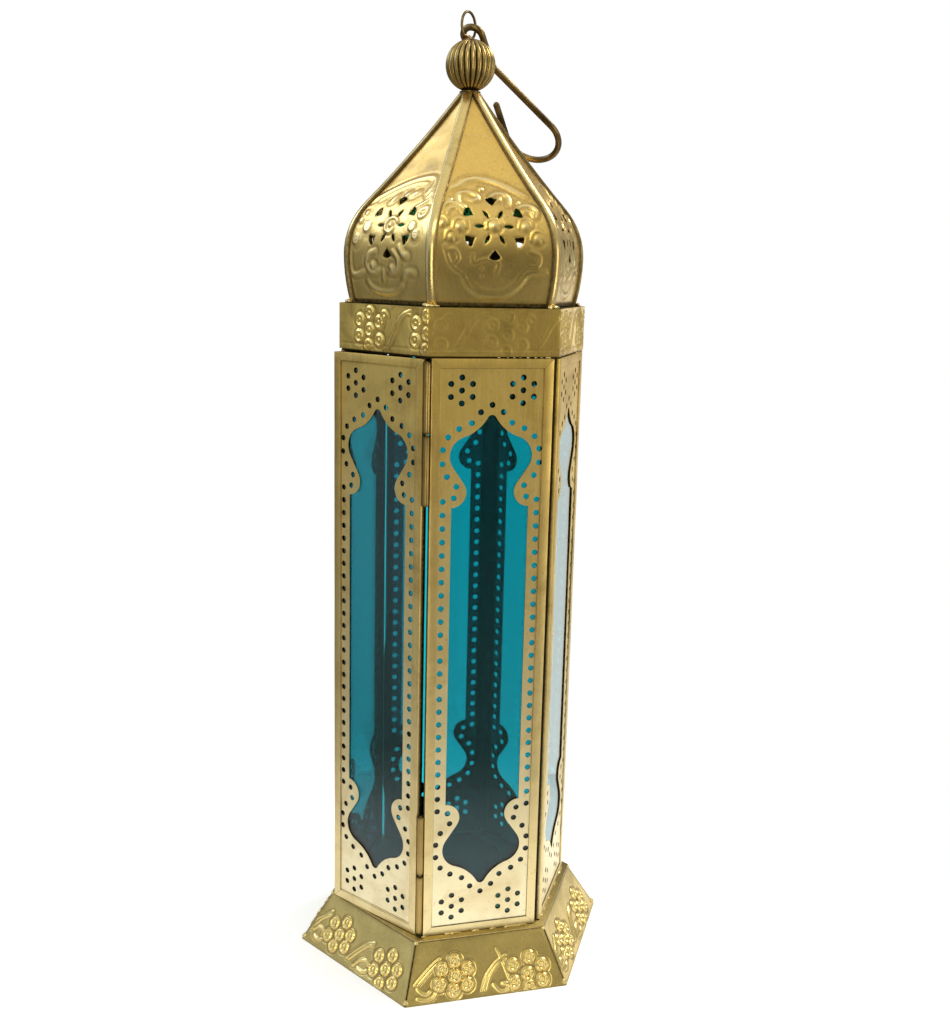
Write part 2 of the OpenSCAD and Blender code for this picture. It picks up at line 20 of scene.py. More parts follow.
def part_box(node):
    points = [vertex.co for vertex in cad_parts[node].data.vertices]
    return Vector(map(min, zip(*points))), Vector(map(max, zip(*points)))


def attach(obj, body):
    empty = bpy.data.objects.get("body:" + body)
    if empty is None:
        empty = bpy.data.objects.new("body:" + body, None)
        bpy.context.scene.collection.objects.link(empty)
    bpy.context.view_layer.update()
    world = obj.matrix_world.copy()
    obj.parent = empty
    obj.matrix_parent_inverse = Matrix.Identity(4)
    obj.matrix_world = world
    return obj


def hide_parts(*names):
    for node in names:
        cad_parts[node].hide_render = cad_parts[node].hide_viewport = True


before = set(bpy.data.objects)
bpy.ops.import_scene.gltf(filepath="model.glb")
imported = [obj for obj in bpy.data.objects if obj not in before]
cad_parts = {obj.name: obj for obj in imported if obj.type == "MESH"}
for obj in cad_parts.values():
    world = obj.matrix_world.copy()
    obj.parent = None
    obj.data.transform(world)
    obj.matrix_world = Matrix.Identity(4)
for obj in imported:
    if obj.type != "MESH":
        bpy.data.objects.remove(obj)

LOG = logging.getLogger("lantern")
MM = 0.001
UP = Vector((0, 0, 1))
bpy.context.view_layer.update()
HALF_SIDE = math.radians(30)
CORNERS = tuple(math.radians(degrees) for degrees in range(-120, 240, 60))
# shared sizes: the foot's upper edge and flare, the panels' distance out, the dome's foot
FOOT_TOP = 49.9
FOOT_SPREAD = 12.4
PANEL_FLATS = 47.2
DOME_FOOT = 290.9

Piece = bpy.types.Object
Socket = bpy.types.NodeSocket
Colour = tuple[float, float, float, float]
Point = tuple[float, float]
RidgeTable = tuple[tuple, ...]


class Side(Enum):
    """A side of the hexagon: its turn from the front, and its ending in node names."""

    FRONT = (0, "front")
    FRONT_RIGHT = (60, "front_right")
    BACK_RIGHT = (120, "back_right")
    BACK = (180, "back")
    BACK_LEFT = (240, "back_left")
    DOOR = (300, "door")

    @property
    def degrees(self) -> int:
        """The turn about Z, in degrees."""
        return self.value[0]

    @property
    def turn(self) -> float:
        """The turn about Z, in radians."""
        return math.radians(self.degrees)

    @property
    def word(self) -> str:
        """The ending of this side's node names."""
        return self.value[1]


def linear(hex_colour: str) -> Colour:
    """Turns an sRGB hex colour to linear light.

    Args:
        hex_colour: six hex digits, such as "C8A96A".

    Returns:
        Red, green, blue and an alpha of one.
    """
    parts = [int(hex_colour[i:i + 2], 16) / 255 for i in (0, 2, 4)]
    rgb = [c / 12.92 if c <= 0.04045 else ((c + 0.055) / 1.055) ** 2.4 for c in parts]
    return (rgb[0], rgb[1], rgb[2], 1.0)


@dataclass(frozen=True)
class Wiring:
    """Adds nodes to one node tree. A colour may be given as hex digits wherever one goes."""

    tree: bpy.types.NodeTree

    def feed(self, node: bpy.types.Node, inputs: dict) -> None:
        """Sets a node's inputs.

        Args:
            node: the node.
            inputs: what each named or numbered input gets, a value or another's output.
        """
        for key, value in inputs.items():
            if isinstance(value, Socket):
                self.tree.links.new(value, node.inputs[key])
            else:
                colour = isinstance(value, str)
                node.inputs[key].default_value = linear(value) if colour else value

    def add(self, kind: str, inputs: dict | None = None, **settings: object) -> bpy.types.Node:
        """Adds a node.

        Args:
            kind: the node's type, without the ShaderNode that it starts with.
            inputs: what each input gets, a value or another node's output.
            settings: attributes of the node.

        Returns:
            The new node.
        """
        made = self.tree.nodes.new(f"ShaderNode{kind}")
        for name, value in settings.items():
            setattr(made, name, value)
        self.feed(made, inputs or {})
        return made

    def noise(self, place: Socket, size: float, detail: float, rough: float = 0.5,
              twist: float = 0.0) -> Socket:
        """Noise whose lumps have a size in millimetres."""
        return self.add("TexNoise", {
            "Vector": place, "Scale": 1 / (size * MM), "Detail": detail, "Roughness": rough,
            "Distortion": twist}).outputs["Fac"]

    def mix(self, share: Socket, first: Socket | str, second: Socket | str) -> Socket:
        """One colour going over into another by a share from 0 to 1."""
        return self.add("Mix", {0: share, 6: first, 7: second}, data_type="RGBA").outputs[2]

    def maths(self, operation: str, *values: Socket | float, clamp: bool = False) -> Socket:
        """The result of one operation on values or sockets."""
        return self.add("Math", dict(enumerate(values)), operation=operation,
                        use_clamp=clamp).outputs[0]

    def remap(self, value: Socket, low: float = 0.0, high: float = 1.0, to_low: float = 0.0,
              to_high: float = 1.0, **settings: object) -> Socket:
        """A value carried from one range over to another, and held within it."""
        return self.add("MapRange", {
            "Value": value, "From Min": low, "From Max": high, "To Min": to_low,
            "To Max": to_high}, **settings).outputs["Result"]

    def bump(self, height: Socket, strength: float, distance: float, **under: Socket) -> Socket:
        """A normal bent by a height over a distance in millimetres, from the one under it."""
        return self.add("Bump", {"Height": height, "Strength": strength,
                                 "Distance": distance * MM, **under}).outputs["Normal"]

    def ramp(self, value: Socket, *stops: tuple[float, float | str]) -> Socket:
        """Maps a value through stops.

        Args:
            value: the socket to map.
            stops: pairs of a place and a grey level or colour, in order.

        Returns:
            The mapped value's socket.
        """
        made = self.add("ValToRGB", {"Fac": value})
        points = made.color_ramp.elements
        points[0].position, points[1].position = stops[0][0], stops[-1][0]
        for place, _ in stops[1:-1]:
            points.new(place)
        for point, (_, tone) in zip(points, stops):
            point.color = linear(tone) if isinstance(tone, str) else (tone, tone, tone, 1)
        return made.outputs["Color"]


@dataclass(frozen=True)
class Recipe:
    """A finish: the name of its material, and how that is made."""

    name: str

    def build(self) -> bpy.types.Material:
        """Makes the material.

        Returns:
            The finished material.
        """
        made = bpy.data.materials.new(self.name)
        made.use_nodes = True
        wires = Wiring(made.node_tree)
        place = wires.add("TexCoord").outputs["Object"]
        wires.feed(made.node_tree.nodes["Principled BSDF"], self.surface(wires, place))
        return made

    def surface(self, wires: Wiring, place: Socket) -> dict[str, object]:
        """What the shader's inputs get. Each kind of finish has its own.

        Args:
            wires: adds nodes to the material.
            place: the place on the piece, in metres.

        Returns:
            A value or socket for each input that is set.
        """
        raise NotImplementedError


@dataclass(frozen=True)
class SheetBrass(Recipe):
    """Antiqued brass sheet, lacquered: a clean tone clouded by a darker patina.

    Dark colour sits in seams and round stamped work, patina with painted shade, and the high
    spots are bright with wear and a painted highlight. Up the sheet the tone changes as
    painted light. The sheet has fine rolling lines along it and shallow waves from handling.
    """

    clean: str
    patina: str
    bright: str
    dark: str
    # painted light: over the span of heights below, the tone turns from the low colour to the
    # clean one
    low: str = ""
    heat: tuple[float, float] = (20, 250)
    cloud_mm: float = 26.0
    line_mm: float = 0.8
    speck_mm: float = 1.5
    wave_mm: float = 14.0
    cover: float = 0.5
    rough: tuple[float, float] = (0.24, 0.42)
    lines: tuple[float, float, float] = (1.0, 1.0, 0.06)
    wave: float = 0.35
    grain: float = 0.12

    def surface(self, wires: Wiring, place: Socket) -> dict[str, object]:
        """The sheet's tone, roughness and waves; see Recipe.surface."""
        # clouds of patina, rolling lines drawn out up the sheet, and freckles of tarnish
        cloud = wires.noise(place, self.cloud_mm, 5.0, rough=0.62, twist=0.6)
        drawn = wires.add("Mapping", {"Vector": place, "Scale": self.lines})
        lines = wires.noise(drawn.outputs["Vector"], self.line_mm, 2.0)
        speck = wires.noise(place, self.speck_mm, 3.0, rough=0.7)
        relief, seam = (wires.add("Attribute", attribute_name=name).outputs["Fac"]
                        for name in ("relief", "seam"))
        # painted light and shade: up the sheet the tone runs from the low colour to the clean one
        # and the patina cover grows, so the sheet is paler low down
        height = wires.add("SeparateXYZ", {0: place}).outputs["Z"]
        heat = wires.remap(height, *(z * MM for z in self.heat))
        tone = wires.mix(heat, self.low or self.clean, self.clean)
        cover = wires.ramp(cloud, (0.36 + 0.2 * (1 - self.cover), 0.0), (0.72, 1.0))
        cover = wires.maths("MULTIPLY", cover, wires.remap(heat, to_low=0.35))
        tone = wires.mix(cover, tone, self.patina)
        tone = wires.mix(wires.ramp(lines, (0.3, 0.0), (0.75, 0.22)), tone, self.bright)
        tone = wires.mix(wires.ramp(speck, (0.62, 0.0), (0.8, 0.45)), tone, self.dark)
        # stamped work: bright on top, wear and painted highlight, and dark round its foot, patina
        # and painted shade, as seams are
        tone = wires.mix(wires.ramp(relief, (0.25, 0.0), (0.85, 0.5)), tone, self.bright)
        # the dark of furrows and seam marks: patina, dark joints and painted shade
        patina_and_shade = wires.maths("MAXIMUM", wires.maths("MULTIPLY", relief, -1.0), seam)
        patina_and_shade = wires.maths("MULTIPLY", patina_and_shade, wires.ramp(speck, (0.25, 0.65), (0.6, 1.0)),
                            clamp=True)
        rough = wires.remap(cloud, 0.3, 0.75, *self.rough)
        waves = wires.bump(wires.noise(place, self.wave_mm, 1.0), self.wave, 1.2)
        return {"Base Color": wires.mix(patina_and_shade, tone, self.dark), "Metallic": 1.0,
                "Roughness": wires.maths("MULTIPLY_ADD", patina_and_shade, 0.25, rough, clamp=True),
                "Normal": wires.bump(lines, self.grain, 0.12, Normal=waves)}


@dataclass(frozen=True)
class BronzedWire(Recipe):
    """Drawn steel wire, chemically bronzed: dark brown, worn brassy in patches."""

    dark: str
    worn: str
    rough: float = 0.38
    patch_mm: float = 11.0
    grain_mm: float = 0.9

    def surface(self, wires: Wiring, place: Socket) -> dict[str, object]:
        """The wire's tone, roughness and grain; see Recipe.surface."""
        patch = wires.noise(place, self.patch_mm, 3.0)
        worn = wires.ramp(patch, (0.3, 0.1), (0.7, 0.9))
        return {"Base Color": wires.mix(worn, self.dark, self.worn), "Metallic": 1.0,
                "Roughness": wires.remap(patch, 0.0, 1.0, self.rough + 0.15, self.rough - 0.1),
                "Normal": wires.bump(wires.noise(place, self.grain_mm, 2.0), 0.12, 0.05)}


@dataclass(frozen=True)
class TintedGlass(Recipe):
    """Turquoise soda-lime window glass: clear through its depth, smeared by wiping.

    It has the slow waves of drawn glass, and reads as dark water where nothing lit is
    behind it.
    """

    tint: str
    smear_mm: float = 20.0
    wave_mm: float = 30.0

    def surface(self, wires: Wiring, place: Socket) -> dict[str, object]:
        """The glass's tint, smears and waves; see Recipe.surface."""
        smear = wires.noise(place, self.smear_mm, 6.0, rough=0.7)
        return {"Base Color": self.tint, "Transmission Weight": 1.0, "IOR": 1.52,
                "Roughness": wires.remap(smear, 0.45, 0.8, 0.01, 0.12),
                "Normal": wires.bump(wires.noise(place, self.wave_mm, 1.0), 0.06, 0.8)}


@dataclass(frozen=True)
class MattPaper(Recipe):
    """White paper under the lantern, which fades out into the white surround."""

    tones: tuple[str, str] = ("F6F6F4", "FBFBFA")
    radius: float = 0.3
    scale: float = 900.0

    def surface(self, wires: Wiring, place: Socket) -> dict[str, object]:
        """The paper's grain and its fading edge; see Recipe.surface."""
        grain = wires.add("TexNoise", {"Vector": place, "Scale": self.scale}).outputs["Fac"]
        away = wires.add("VectorMath", {0: place}, operation="LENGTH").outputs["Value"]
        return {"Base Color": wires.mix(grain, *self.tones), "Roughness": 0.9,
                "Specular IOR Level": 0.1,
                "Alpha": wires.remap(away, 0.4 * self.radius, 0.98 * self.radius, 1.0, 0.0,
                                     interpolation_type="SMOOTHSTEP")}


class Finish(Enum):
    """The lantern's finishes, each with the record's slot that it belongs to."""

    # the low colours paint light: each sheet turns towards its low colour at the foot of its span
    # of heights
    PANEL = (SheetBrass("pale_antiqued_brass_sheet", "DDBA66", "B8964F", "F2E0A8", "2E210F",
                        low="F6EAC6", cover=0.35, rough=(0.38, 0.5)), "panel_brass")
    FRAME = (SheetBrass("folded_brass_channel", "D8B35F", "A58645", "F2DFA4", "261B0C",
                        low="EAD7A4", cover=0.45, rough=(0.36, 0.5)), "panel_brass")
    BAND = (SheetBrass("olive_gold_stamped_brass", "F6D070", "A4803E", "FBE29C", "2E210E",
                       cover=0.6, cloud_mm=14.0, rough=(0.25, 0.42)), "old_brass")
    DOME = (SheetBrass("golden_stamped_brass", "E4B75C", "B18C48", "FAECC0", "2E210E",
                       low="DEBC6A", cover=0.4, rough=(0.24, 0.38), lines=(1.0, 1.0, 0.3),
                       heat=(295.0, 345.0)), "dome_brass")
    FOOT = (SheetBrass("pale_stamped_brass", "DABD74", "A88C4A", "F4E4A8", "2A1E0E",
                       cover=0.45, rough=(0.19, 0.33)), "panel_brass")
    RIB = (SheetBrass("soldered_brass_strip", "DFC07C", "A5864A", "F8EAC0", "261B0C",
                      cover=0.4, rough=(0.2, 0.34)), "old_brass")
    HINGE = (SheetBrass("rolled_hinge_brass", "A88A4E", "766032", "E6CE92", "20170A",
                        cover=0.5, rough=(0.3, 0.46)), "old_brass")
    BALL = (SheetBrass("fluted_spun_brass", "967740", "5A4622", "DCC484", "1C1408",
                       cover=0.5, rough=(0.22, 0.38)), "old_brass")
    # painted shade: the inner parts are very dark, as the inside of the lantern is shaded
    HIDDEN = (SheetBrass("shaded_inner_brass", "40331B", "241B0D", "5A4828", "0C0904",
                         rough=(0.45, 0.65)), "old_brass")
    SOLDER = (SheetBrass("brass_washed_solder", "D0B878", "927A44", "F8ECC4", "2C2211",
                         cover=0.5, rough=(0.22, 0.4), wave=0.6), "old_brass")
    WIRE = (BronzedWire("bronzed_steel_wire", "382A1A", "967C4E", rough=0.3), "wire")
    GLASS = (TintedGlass("turquoise_window_glass", "25BBC5"), "glass")
    # the door's pane: the same glass in a deeper tint, painted shade on that window
    DOOR_GLASS = (TintedGlass("shaded_turquoise_window_glass", "169FA9"), "glass")

    @property
    def slot(self) -> str:
        """The record's material slot."""
        return self.value[1]

    @property
    def material(self) -> bpy.types.Material:
        """The material, made the first time it is asked for."""
        recipe = self.value[0]
        return bpy.data.materials.get(recipe.name) or recipe.build()


def deselect() -> None:
    """Leaves edit mode and deselects every object."""
    if bpy.context.mode != "OBJECT":
        bpy.ops.object.mode_set(mode="OBJECT")
    bpy.ops.object.select_all(action="DESELECT")


def pick(piece: Piece) -> None:
    """Makes one object the only selected and active one."""
    deselect()
    piece.select_set(True)
    bpy.context.view_layer.objects.active = piece


@contextmanager
def editing(piece: Piece) -> Iterator[None]:
    """Holds a piece in edit mode, at first with all of it selected.

    Args:
        piece: the object.

    Yields:
        Nothing.
    """
    pick(piece)
    bpy.ops.object.mode_set(mode="EDIT")
    bpy.ops.mesh.select_all(action="SELECT")
    yield
    bpy.ops.object.mode_set(mode="OBJECT")


@contextmanager
def opened(piece: Piece) -> Iterator[bmesh.types.BMesh]:
    """Holds a piece's mesh open, and puts the changed one back.

    Args:
        piece: the object.

    Yields:
        The mesh to change.
    """
    mesh = bmesh.new()
    mesh.from_mesh(piece.data)
    yield mesh
    mesh.to_mesh(piece.data)
    mesh.free()


def finish_piece(piece: Piece, finish: Finish, body: str, *stands_for: str) -> None:
    """Bakes an object's place into its mesh, dresses it and puts it on its body.

    Args:
        piece: the object.
        finish: its finish.
        body: the body that carries it.
        stands_for: the CAD nodes that it replaces.
    """
    pick(piece)
    bpy.ops.object.transform_apply(location=True, rotation=True, scale=True)
    piece.data.materials.clear()
    piece.data.materials.append(finish.material)
    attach(piece, body)
    if stands_for:
        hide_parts(*stands_for)
    LOG.info("%s: %d faces on %s", piece.name, len(piece.data.polygons), body)


def traced(node: str, name: str, merge: float = 0.004) -> Piece:
    """Copies a CAD node's mesh, for its edges to be eased.

    Args:
        node: the CAD node.
        name: the new piece's name.
        merge: the distance within which points are one, in millimetres.

    Returns:
        The copy, merged, with its flat faces whole again.
    """
    piece = bpy.data.objects.new(name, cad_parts[node].data.copy())
    bpy.context.scene.collection.objects.link(piece)
    with editing(piece):
        bpy.ops.mesh.remove_doubles(threshold=merge * MM)
        bpy.ops.mesh.customdata_custom_splitnormals_clear()
        bpy.ops.mesh.dissolve_limited(angle_limit=math.radians(0.5))
    return piece


def shade(degrees: float) -> None:
    """Shades the active piece smooth, but for edges sharper than an angle."""
    bpy.ops.object.shade_smooth_by_angle(angle=math.radians(degrees))


def form(piece: Piece, kind: str, **settings: object) -> None:
    """Adds one modifier to a piece and applies it.

    Args:
        piece: the object.
        kind: the modifier's type.
        settings: its attributes.
    """
    pick(piece)
    modifier = piece.modifiers.new(kind, kind)
    for name, value in settings.items():
        setattr(modifier, name, value)
    bpy.ops.object.modifier_apply(modifier=modifier.name)


def ease(piece: Piece, width: float, segments: int = 2, angle: float = 30.0) -> None:
    """Rounds the edges of a piece with an applied bevel and shades it by angle.

    Args:
        piece: the object.
        width: the bevel's width in millimetres.
        segments: how many faces the round gets.
        angle: the least angle between faces that is rounded, in degrees.
    """
    form(piece, "BEVEL", width=width * MM, segments=segments, limit_method="ANGLE",
         angle_limit=math.radians(angle), miter_outer="MITER_ARC")
    shade(38)


def smoothed(node: str, name: str, finish: Finish, body: str, width: float,
             segments: int = 2, angle: float = 30.0) -> None:
    """Makes a piece that is a CAD node with rounded edges.

    Args:
        node: the CAD node.
        name: the piece's name.
        finish: its finish.
        body: the body that carries it.
        width, segments, angle: how its edges are rounded; see ease.
    """
    piece = traced(node, name)
    ease(piece, width, segments, angle)
    finish_piece(piece, finish, body, node)


def thicken(piece: Piece, thick: float) -> None:
    """Gives a formed sheet its thickness, in millimetres and inwards."""
    form(piece, "SOLIDIFY", thickness=thick * MM, offset=-1.0)


def slice_at(piece: Piece, normal: Vector, *places: float) -> None:
    """Cuts a mesh across, so that it can take slow waves and thin marks.

    Args:
        piece: the object.
        normal: the direction along which the cuts follow each other.
        places: where each cut lies along the direction, in millimetres.
    """
    with editing(piece):
        for place in places:
            bpy.ops.mesh.select_all(action="SELECT")
            bpy.ops.mesh.bisect(plane_co=normal * float(place) * MM, plane_no=normal)


def join(pieces: Sequence[Piece], name: str) -> Piece:
    """Joins pieces into the first of them, under a new name.

    Args:
        pieces: what is joined.
        name: the name of the whole.

    Returns:
        The whole, selected and active.
    """
    deselect()
    for piece in pieces:
        piece.select_set(True)
    bpy.context.view_layer.objects.active = pieces[0]
    bpy.ops.object.join()
    pieces[0].name = name
    return pieces[0]


def points_of(piece: Piece) -> np.ndarray:
    """The piece's vertices in millimetres, one row each."""
    co = np.empty(len(piece.data.vertices) * 3)
    piece.data.vertices.foreach_get("co", co)
    return co.reshape(-1, 3) / MM


def set_points(piece: Piece, points: np.ndarray) -> None:
    """Puts the piece's vertices at the given points, in millimetres."""
    piece.data.vertices.foreach_set("co", (points * MM).ravel())
    piece.data.update()


def mark(piece: Piece, seam: np.ndarray | float, relief: np.ndarray | float = 0.0) -> None:
    """Stores a sheet's marks on its vertices, for its material to read.

    Args:
        piece: the sheet.
        seam: how dark each vertex is painted, for dark joints and painted shade, from 0 to 1 and
            over.
        relief: how far it is stamped up, from -1 beside a ridge to 1 on top of one.
    """
    for name, values in (("seam", seam), ("relief", relief)):
        made = piece.data.attributes.new(name, "FLOAT", "POINT")
        made.data.foreach_set("value", np.full(len(made.data), values, np.float32))


def ways_at(angle: float) -> tuple[np.ndarray, np.ndarray]:
    """The level directions outwards and across, at an angle about Z in radians."""
    c, s = math.cos(angle), math.sin(angle)
    return np.array([c, s, 0]), np.array([-s, c, 0])


def turned(points: np.ndarray, angle: float) -> np.ndarray:
    """Points turned about Z by an angle in radians."""
    return points @ np.array([*ways_at(angle), (0, 0, 1)])


def wander(points: np.ndarray, length: float, seed: float) -> np.ndarray:
    """Slow noise at each point, from -1 to 1, so that a bent sheet looks made by hand.

    Args:
        points: the points in millimetres.
        length: the length of a wave in millimetres.
        seed: sets one piece's noise apart from another's.

    Returns:
        One number for each point.
    """
    return np.array([noise.noise(Vector(p) / length + Vector((seed, 0, 0))) for p in points])


def falloff(distance: np.ndarray, reach: float) -> np.ndarray:
    """One at an edge and behind it, and dying away over about the reach in front of it."""
    return np.exp(-np.maximum(distance, 0) / reach)


def arc(x: float, y: float, r: float, angles: np.ndarray) -> np.ndarray:
    """Points of an arc round a middle, at angles in radians."""
    return np.c_[x + r * np.cos(angles), y + r * np.sin(angles)]


def sheet_grid(name: str, columns: int, rows: int) -> tuple[Piece, np.ndarray, np.ndarray]:
    """Adds a flat grid for a sheet.

    Args:
        name: the new object's name.
        columns: faces across.
        rows: faces up.

    Returns:
        The grid, and the place of each vertex across, from -1 to 1, and up, from 0 to 1.
    """
    deselect()
    bpy.ops.mesh.primitive_grid_add(x_subdivisions=columns, y_subdivisions=rows, size=1)
    piece = bpy.context.active_object
    piece.name = name
    flat = np.empty(len(piece.data.vertices) * 3)
    piece.data.vertices.foreach_get("co", flat)
    return piece, flat[0::3] * 2, flat[1::3] + 0.5


def swell(distance: np.ndarray, half_width: float) -> np.ndarray:
    """The rounded section of a stamped ridge, one at its middle and zero past its width."""
    t = np.clip(np.abs(distance) / half_width, 0, 1)
    return (1 - t * t) ** 2


def smooth_line(points: Sequence[Point], parts: int = 8) -> np.ndarray:
    """A smooth line through points, as many short straight parts.

    Args:
        points: the points that the line goes through.
        parts: how many parts each gap is cut into.

    Returns:
        The points of the fine line.
    """
    p = np.array([points[0], *points, points[-1]], float)
    fine = []
    for a, b, c, d in zip(p[:-3], p[1:-2], p[2:-1], p[3:]):
        for t in np.arange(parts) / parts:
            fine.append(0.5 * (2 * b + (c - a) * t + (2 * a - 5 * b + 4 * c - d) * t ** 2
                               + (3 * b - a - 3 * c + d) * t ** 3))
    return np.array([*fine, p[-1]])


def distance_to_line(x: np.ndarray, y: np.ndarray, line: np.ndarray
                     ) -> tuple[np.ndarray, np.ndarray]:
    """Finds how each place lies to a line of short parts.

    Args:
        x: places across.
        y: places up.
        line: the line's points.

    Returns:
        Each place's distance to the line, and its share of the way along it.
    """
    a, d = line[:-1], np.diff(line, axis=0)
    px, py = x[:, None], y[:, None]
    size = np.maximum((d ** 2).sum(1), 1e-9)
    t = np.clip(((px - a[:, 0]) * d[:, 0] + (py - a[:, 1]) * d[:, 1]) / size, 0, 1)
    gap = np.hypot(px - a[:, 0] - t * d[:, 0], py - a[:, 1] - t * d[:, 1])
    best = gap.argmin(1)
    each = np.arange(len(gap))
    return gap[each, best], (best + t[each, best]) / len(a)


@dataclass
class Die:
    """What a stamping die presses into a sheet, in millimetres across and up.

    Beside each form the sheet is drawn in a little: by drawn of its height in a furrow.
    """

    broad: float = 1.0
    drawn: float = 0.3
    ridges: list[tuple[Sequence[Point], float, float]] = field(default_factory=list)
    beads: list[tuple[float, float, float, float]] = field(default_factory=list)
    rings: list[tuple[float, float, float, float]] = field(default_factory=list)

    def ridge(self, points: Sequence[Point], width: float, high: float) -> "Die":
        """Adds a raised line that reaches its width to each side of its points."""
        self.ridges.append((points, width * self.broad, high))
        return self

    def ridges_of(self, table: RidgeTable) -> "Die":
        """Adds raised lines from a table that gives each one's width, height and points."""
        for width, high, *points in table:
            self.ridge(points, width, high)
        return self

    def bead(self, x: float, y: float, r: float, high: float) -> "Die":
        """Adds a round bead."""
        self.beads.append((x, y, r, high))
        return self

    def ring(self, x: float, y: float, r: float, high: float) -> "Die":
        """Adds a ring with a boss in its middle, like a grape."""
        self.rings.append((x, y, r, high))
        return self

    def press(self, x: np.ndarray, y: np.ndarray) -> np.ndarray:
        """The height that the die gives the sheet at each place.

        Args:
            x: places across.
            y: places up.

        Returns:
            Heights in millimetres, below zero beside a form where the sheet is drawn in.
        """
        up, down = np.zeros_like(x), np.zeros_like(x)
        for points, width, high in self.ridges:
            line = smooth_line(points)
            (left, low), (right, top) = line.min(0) - 2 * width, line.max(0) + 2 * width
            near = (x > left) & (x < right) & (y > low) & (y < top)
            if not near.any():
                continue
            far, along = distance_to_line(x[near], y[near], line)
            taper = 0.45 + 0.55 * np.sqrt(np.clip(4 * along * (1 - along), 0, 1))
            up[near] = np.maximum(up[near], high * taper * swell(far, width))
            furrow = self.drawn * swell(far - 1.35 * width, 0.7 * width)
            down[near] = np.maximum(down[near], high * furrow)
        for cx, cy, r, high in self.beads:
            gap = np.hypot(x - cx, y - cy)
            up = np.maximum(up, high * swell(gap, r * 1.15))
            down = np.maximum(down, high * self.drawn * swell(gap - 1.45 * r, 0.6 * r))
        for cx, cy, r, high in self.rings:
            gap = np.hypot(x - cx, y - cy)
            up = np.maximum(up, high * swell(gap - 0.76 * r, 0.3 * r))
            up = np.maximum(up, high * 0.9 * swell(gap, 0.4 * r))
            down = np.maximum(down, high * 0.35 * swell(gap - 1.25 * r, 0.3 * r))
        return np.where(up > 0.02, up, -down)


# The front gore's raised lines: an ogee line over scrolls and curling leaves.
ARABESQUE: RidgeTable = (
    (1.15, 0.5, (-20, 17.6), (-15.4, 17.9), (-12.2, 19.4), (-9, 22), (-4.6, 23.2), (0.4, 22.5),
     (5.4, 20.4), (11, 16.8), (14.2, 14.6)),
    (0.9, 0.5, (-12.9, 9), (-13.6, 12), (-12.4, 15), (-9.4, 15.9), (-6.2, 14.9), (-5.2, 12.8),
     (-7.2, 11.6), (-9.8, 12.4)),
    (0.9, 0.5, (6.6, 9.6), (7.4, 12.6), (6, 15.2), (2.6, 15.4), (0.2, 13.8), (0.8, 12), (3, 12.2),
     (3.6, 13.6)),
    (1, 0.5, (-20.2, 5.4), (-20.4, 8.2), (-17.6, 10), (-13.4, 9.6), (-11.2, 7.6), (-11.8, 5.6)),
    (0.8, 0.35, (-18.4, 4.8), (-17.6, 7), (-15, 7.8), (-12.6, 6.8)),
    (1, 0.5, (17.8, 4.6), (18.4, 7.4), (16, 9.6), (12.2, 9.4), (10, 7.6)),
    (0.8, 0.35, (16.8, 4.4), (15.4, 6.8), (12.4, 7.2)),
    (0.7, 0.35, (-3, -0.8), (-2.8, 1.6), (-0.6, 3), (1.8, 2.4), (2.9, 0.4)),
    (0.9, 0.3, (-9, -11.6), (-8.6, -14.6), (-5.2, -13.6), (-1.6, -13), (1.6, -14.6), (0.6, -18.4)),
    (1.1, 0.4, (-12.6, -19.6), (-10.4, -23.4), (-6, -26.4), (0.4, -27.4), (5.6, -26.4), (10, -23),
     (13.2, -18.8), (17, -17.6), (21, -17.6)),
    (0.9, 0.3, (-20.2, -8.4), (-19.2, -12.6), (-16.8, -16.4), (-13.4, -18.6)),
    (0.8, 0.3, (-19.6, -10), (-16.2, -9.6), (-14.6, -12.8), (-16.4, -15)),
    (0.8, 0.25, (15, -9.8), (18.4, -11.6), (17.8, -15), (14.2, -15.4)))

# The raised lines of every second gore: an arch over scrolls and a swirl.
FOLIAGE: RidgeTable = (
    (1.1, 0.45, (-19, 12), (-12, 16.6), (-4, 20.6), (4, 23), (10.6, 23.4), (13.4, 20.6),
     (12.6, 17.8)),
    (0.8, 0.3, (-14, 12.6), (-6, 17.2), (2, 20.2), (8.4, 20.8)),
    (0.9, 0.5, (10, 7.4), (13.6, 9.6), (17, 12.6), (18.6, 15.4), (17.2, 16.8), (15.6, 15.4)),
    (0.9, 0.5, (14, 6.6), (18.2, 7.4), (18.4, 4.4), (16, 3.2), (14.6, 4.6)),
    (0.8, 0.5, (3.4, 1.6), (1.4, 3.2), (-1.6, 2.8), (-3.2, 0.6), (-2.6, -2), (0, -3), (1.6, -1.6)),
    (1, 0.5, (-7.2, -10.6), (-10.8, -11.8), (-12.6, -15), (-11.2, -18.2), (-7.6, -19.4),
     (-4.8, -18)),
    (1, 0.5, (3.6, -10.8), (6.4, -13.4), (6.6, -16.8), (4.2, -19.2), (0.8, -19)),
    (0.9, 0.4, (-2.5, -18.2), (-2.3, -20.4), (-2.7, -22.2)),
    (1.3, 0.5, (7.4, -9.4), (9.4, -11.8), (11.8, -12.6)),
    (1, 0.5, (-23.6, -12), (-23.4, -17), (-21.6, -20), (-18, -20), (-14.8, -18.8)),
    (1.2, 0.4, (9.2, -21.4), (11.6, -19), (15.8, -19)),
    (1.1, 0.4, (-12.6, -22.8), (-10, -25.2), (-5.8, -26.6), (0, -27), (4.6, -26.2), (8.4, -23.6)))


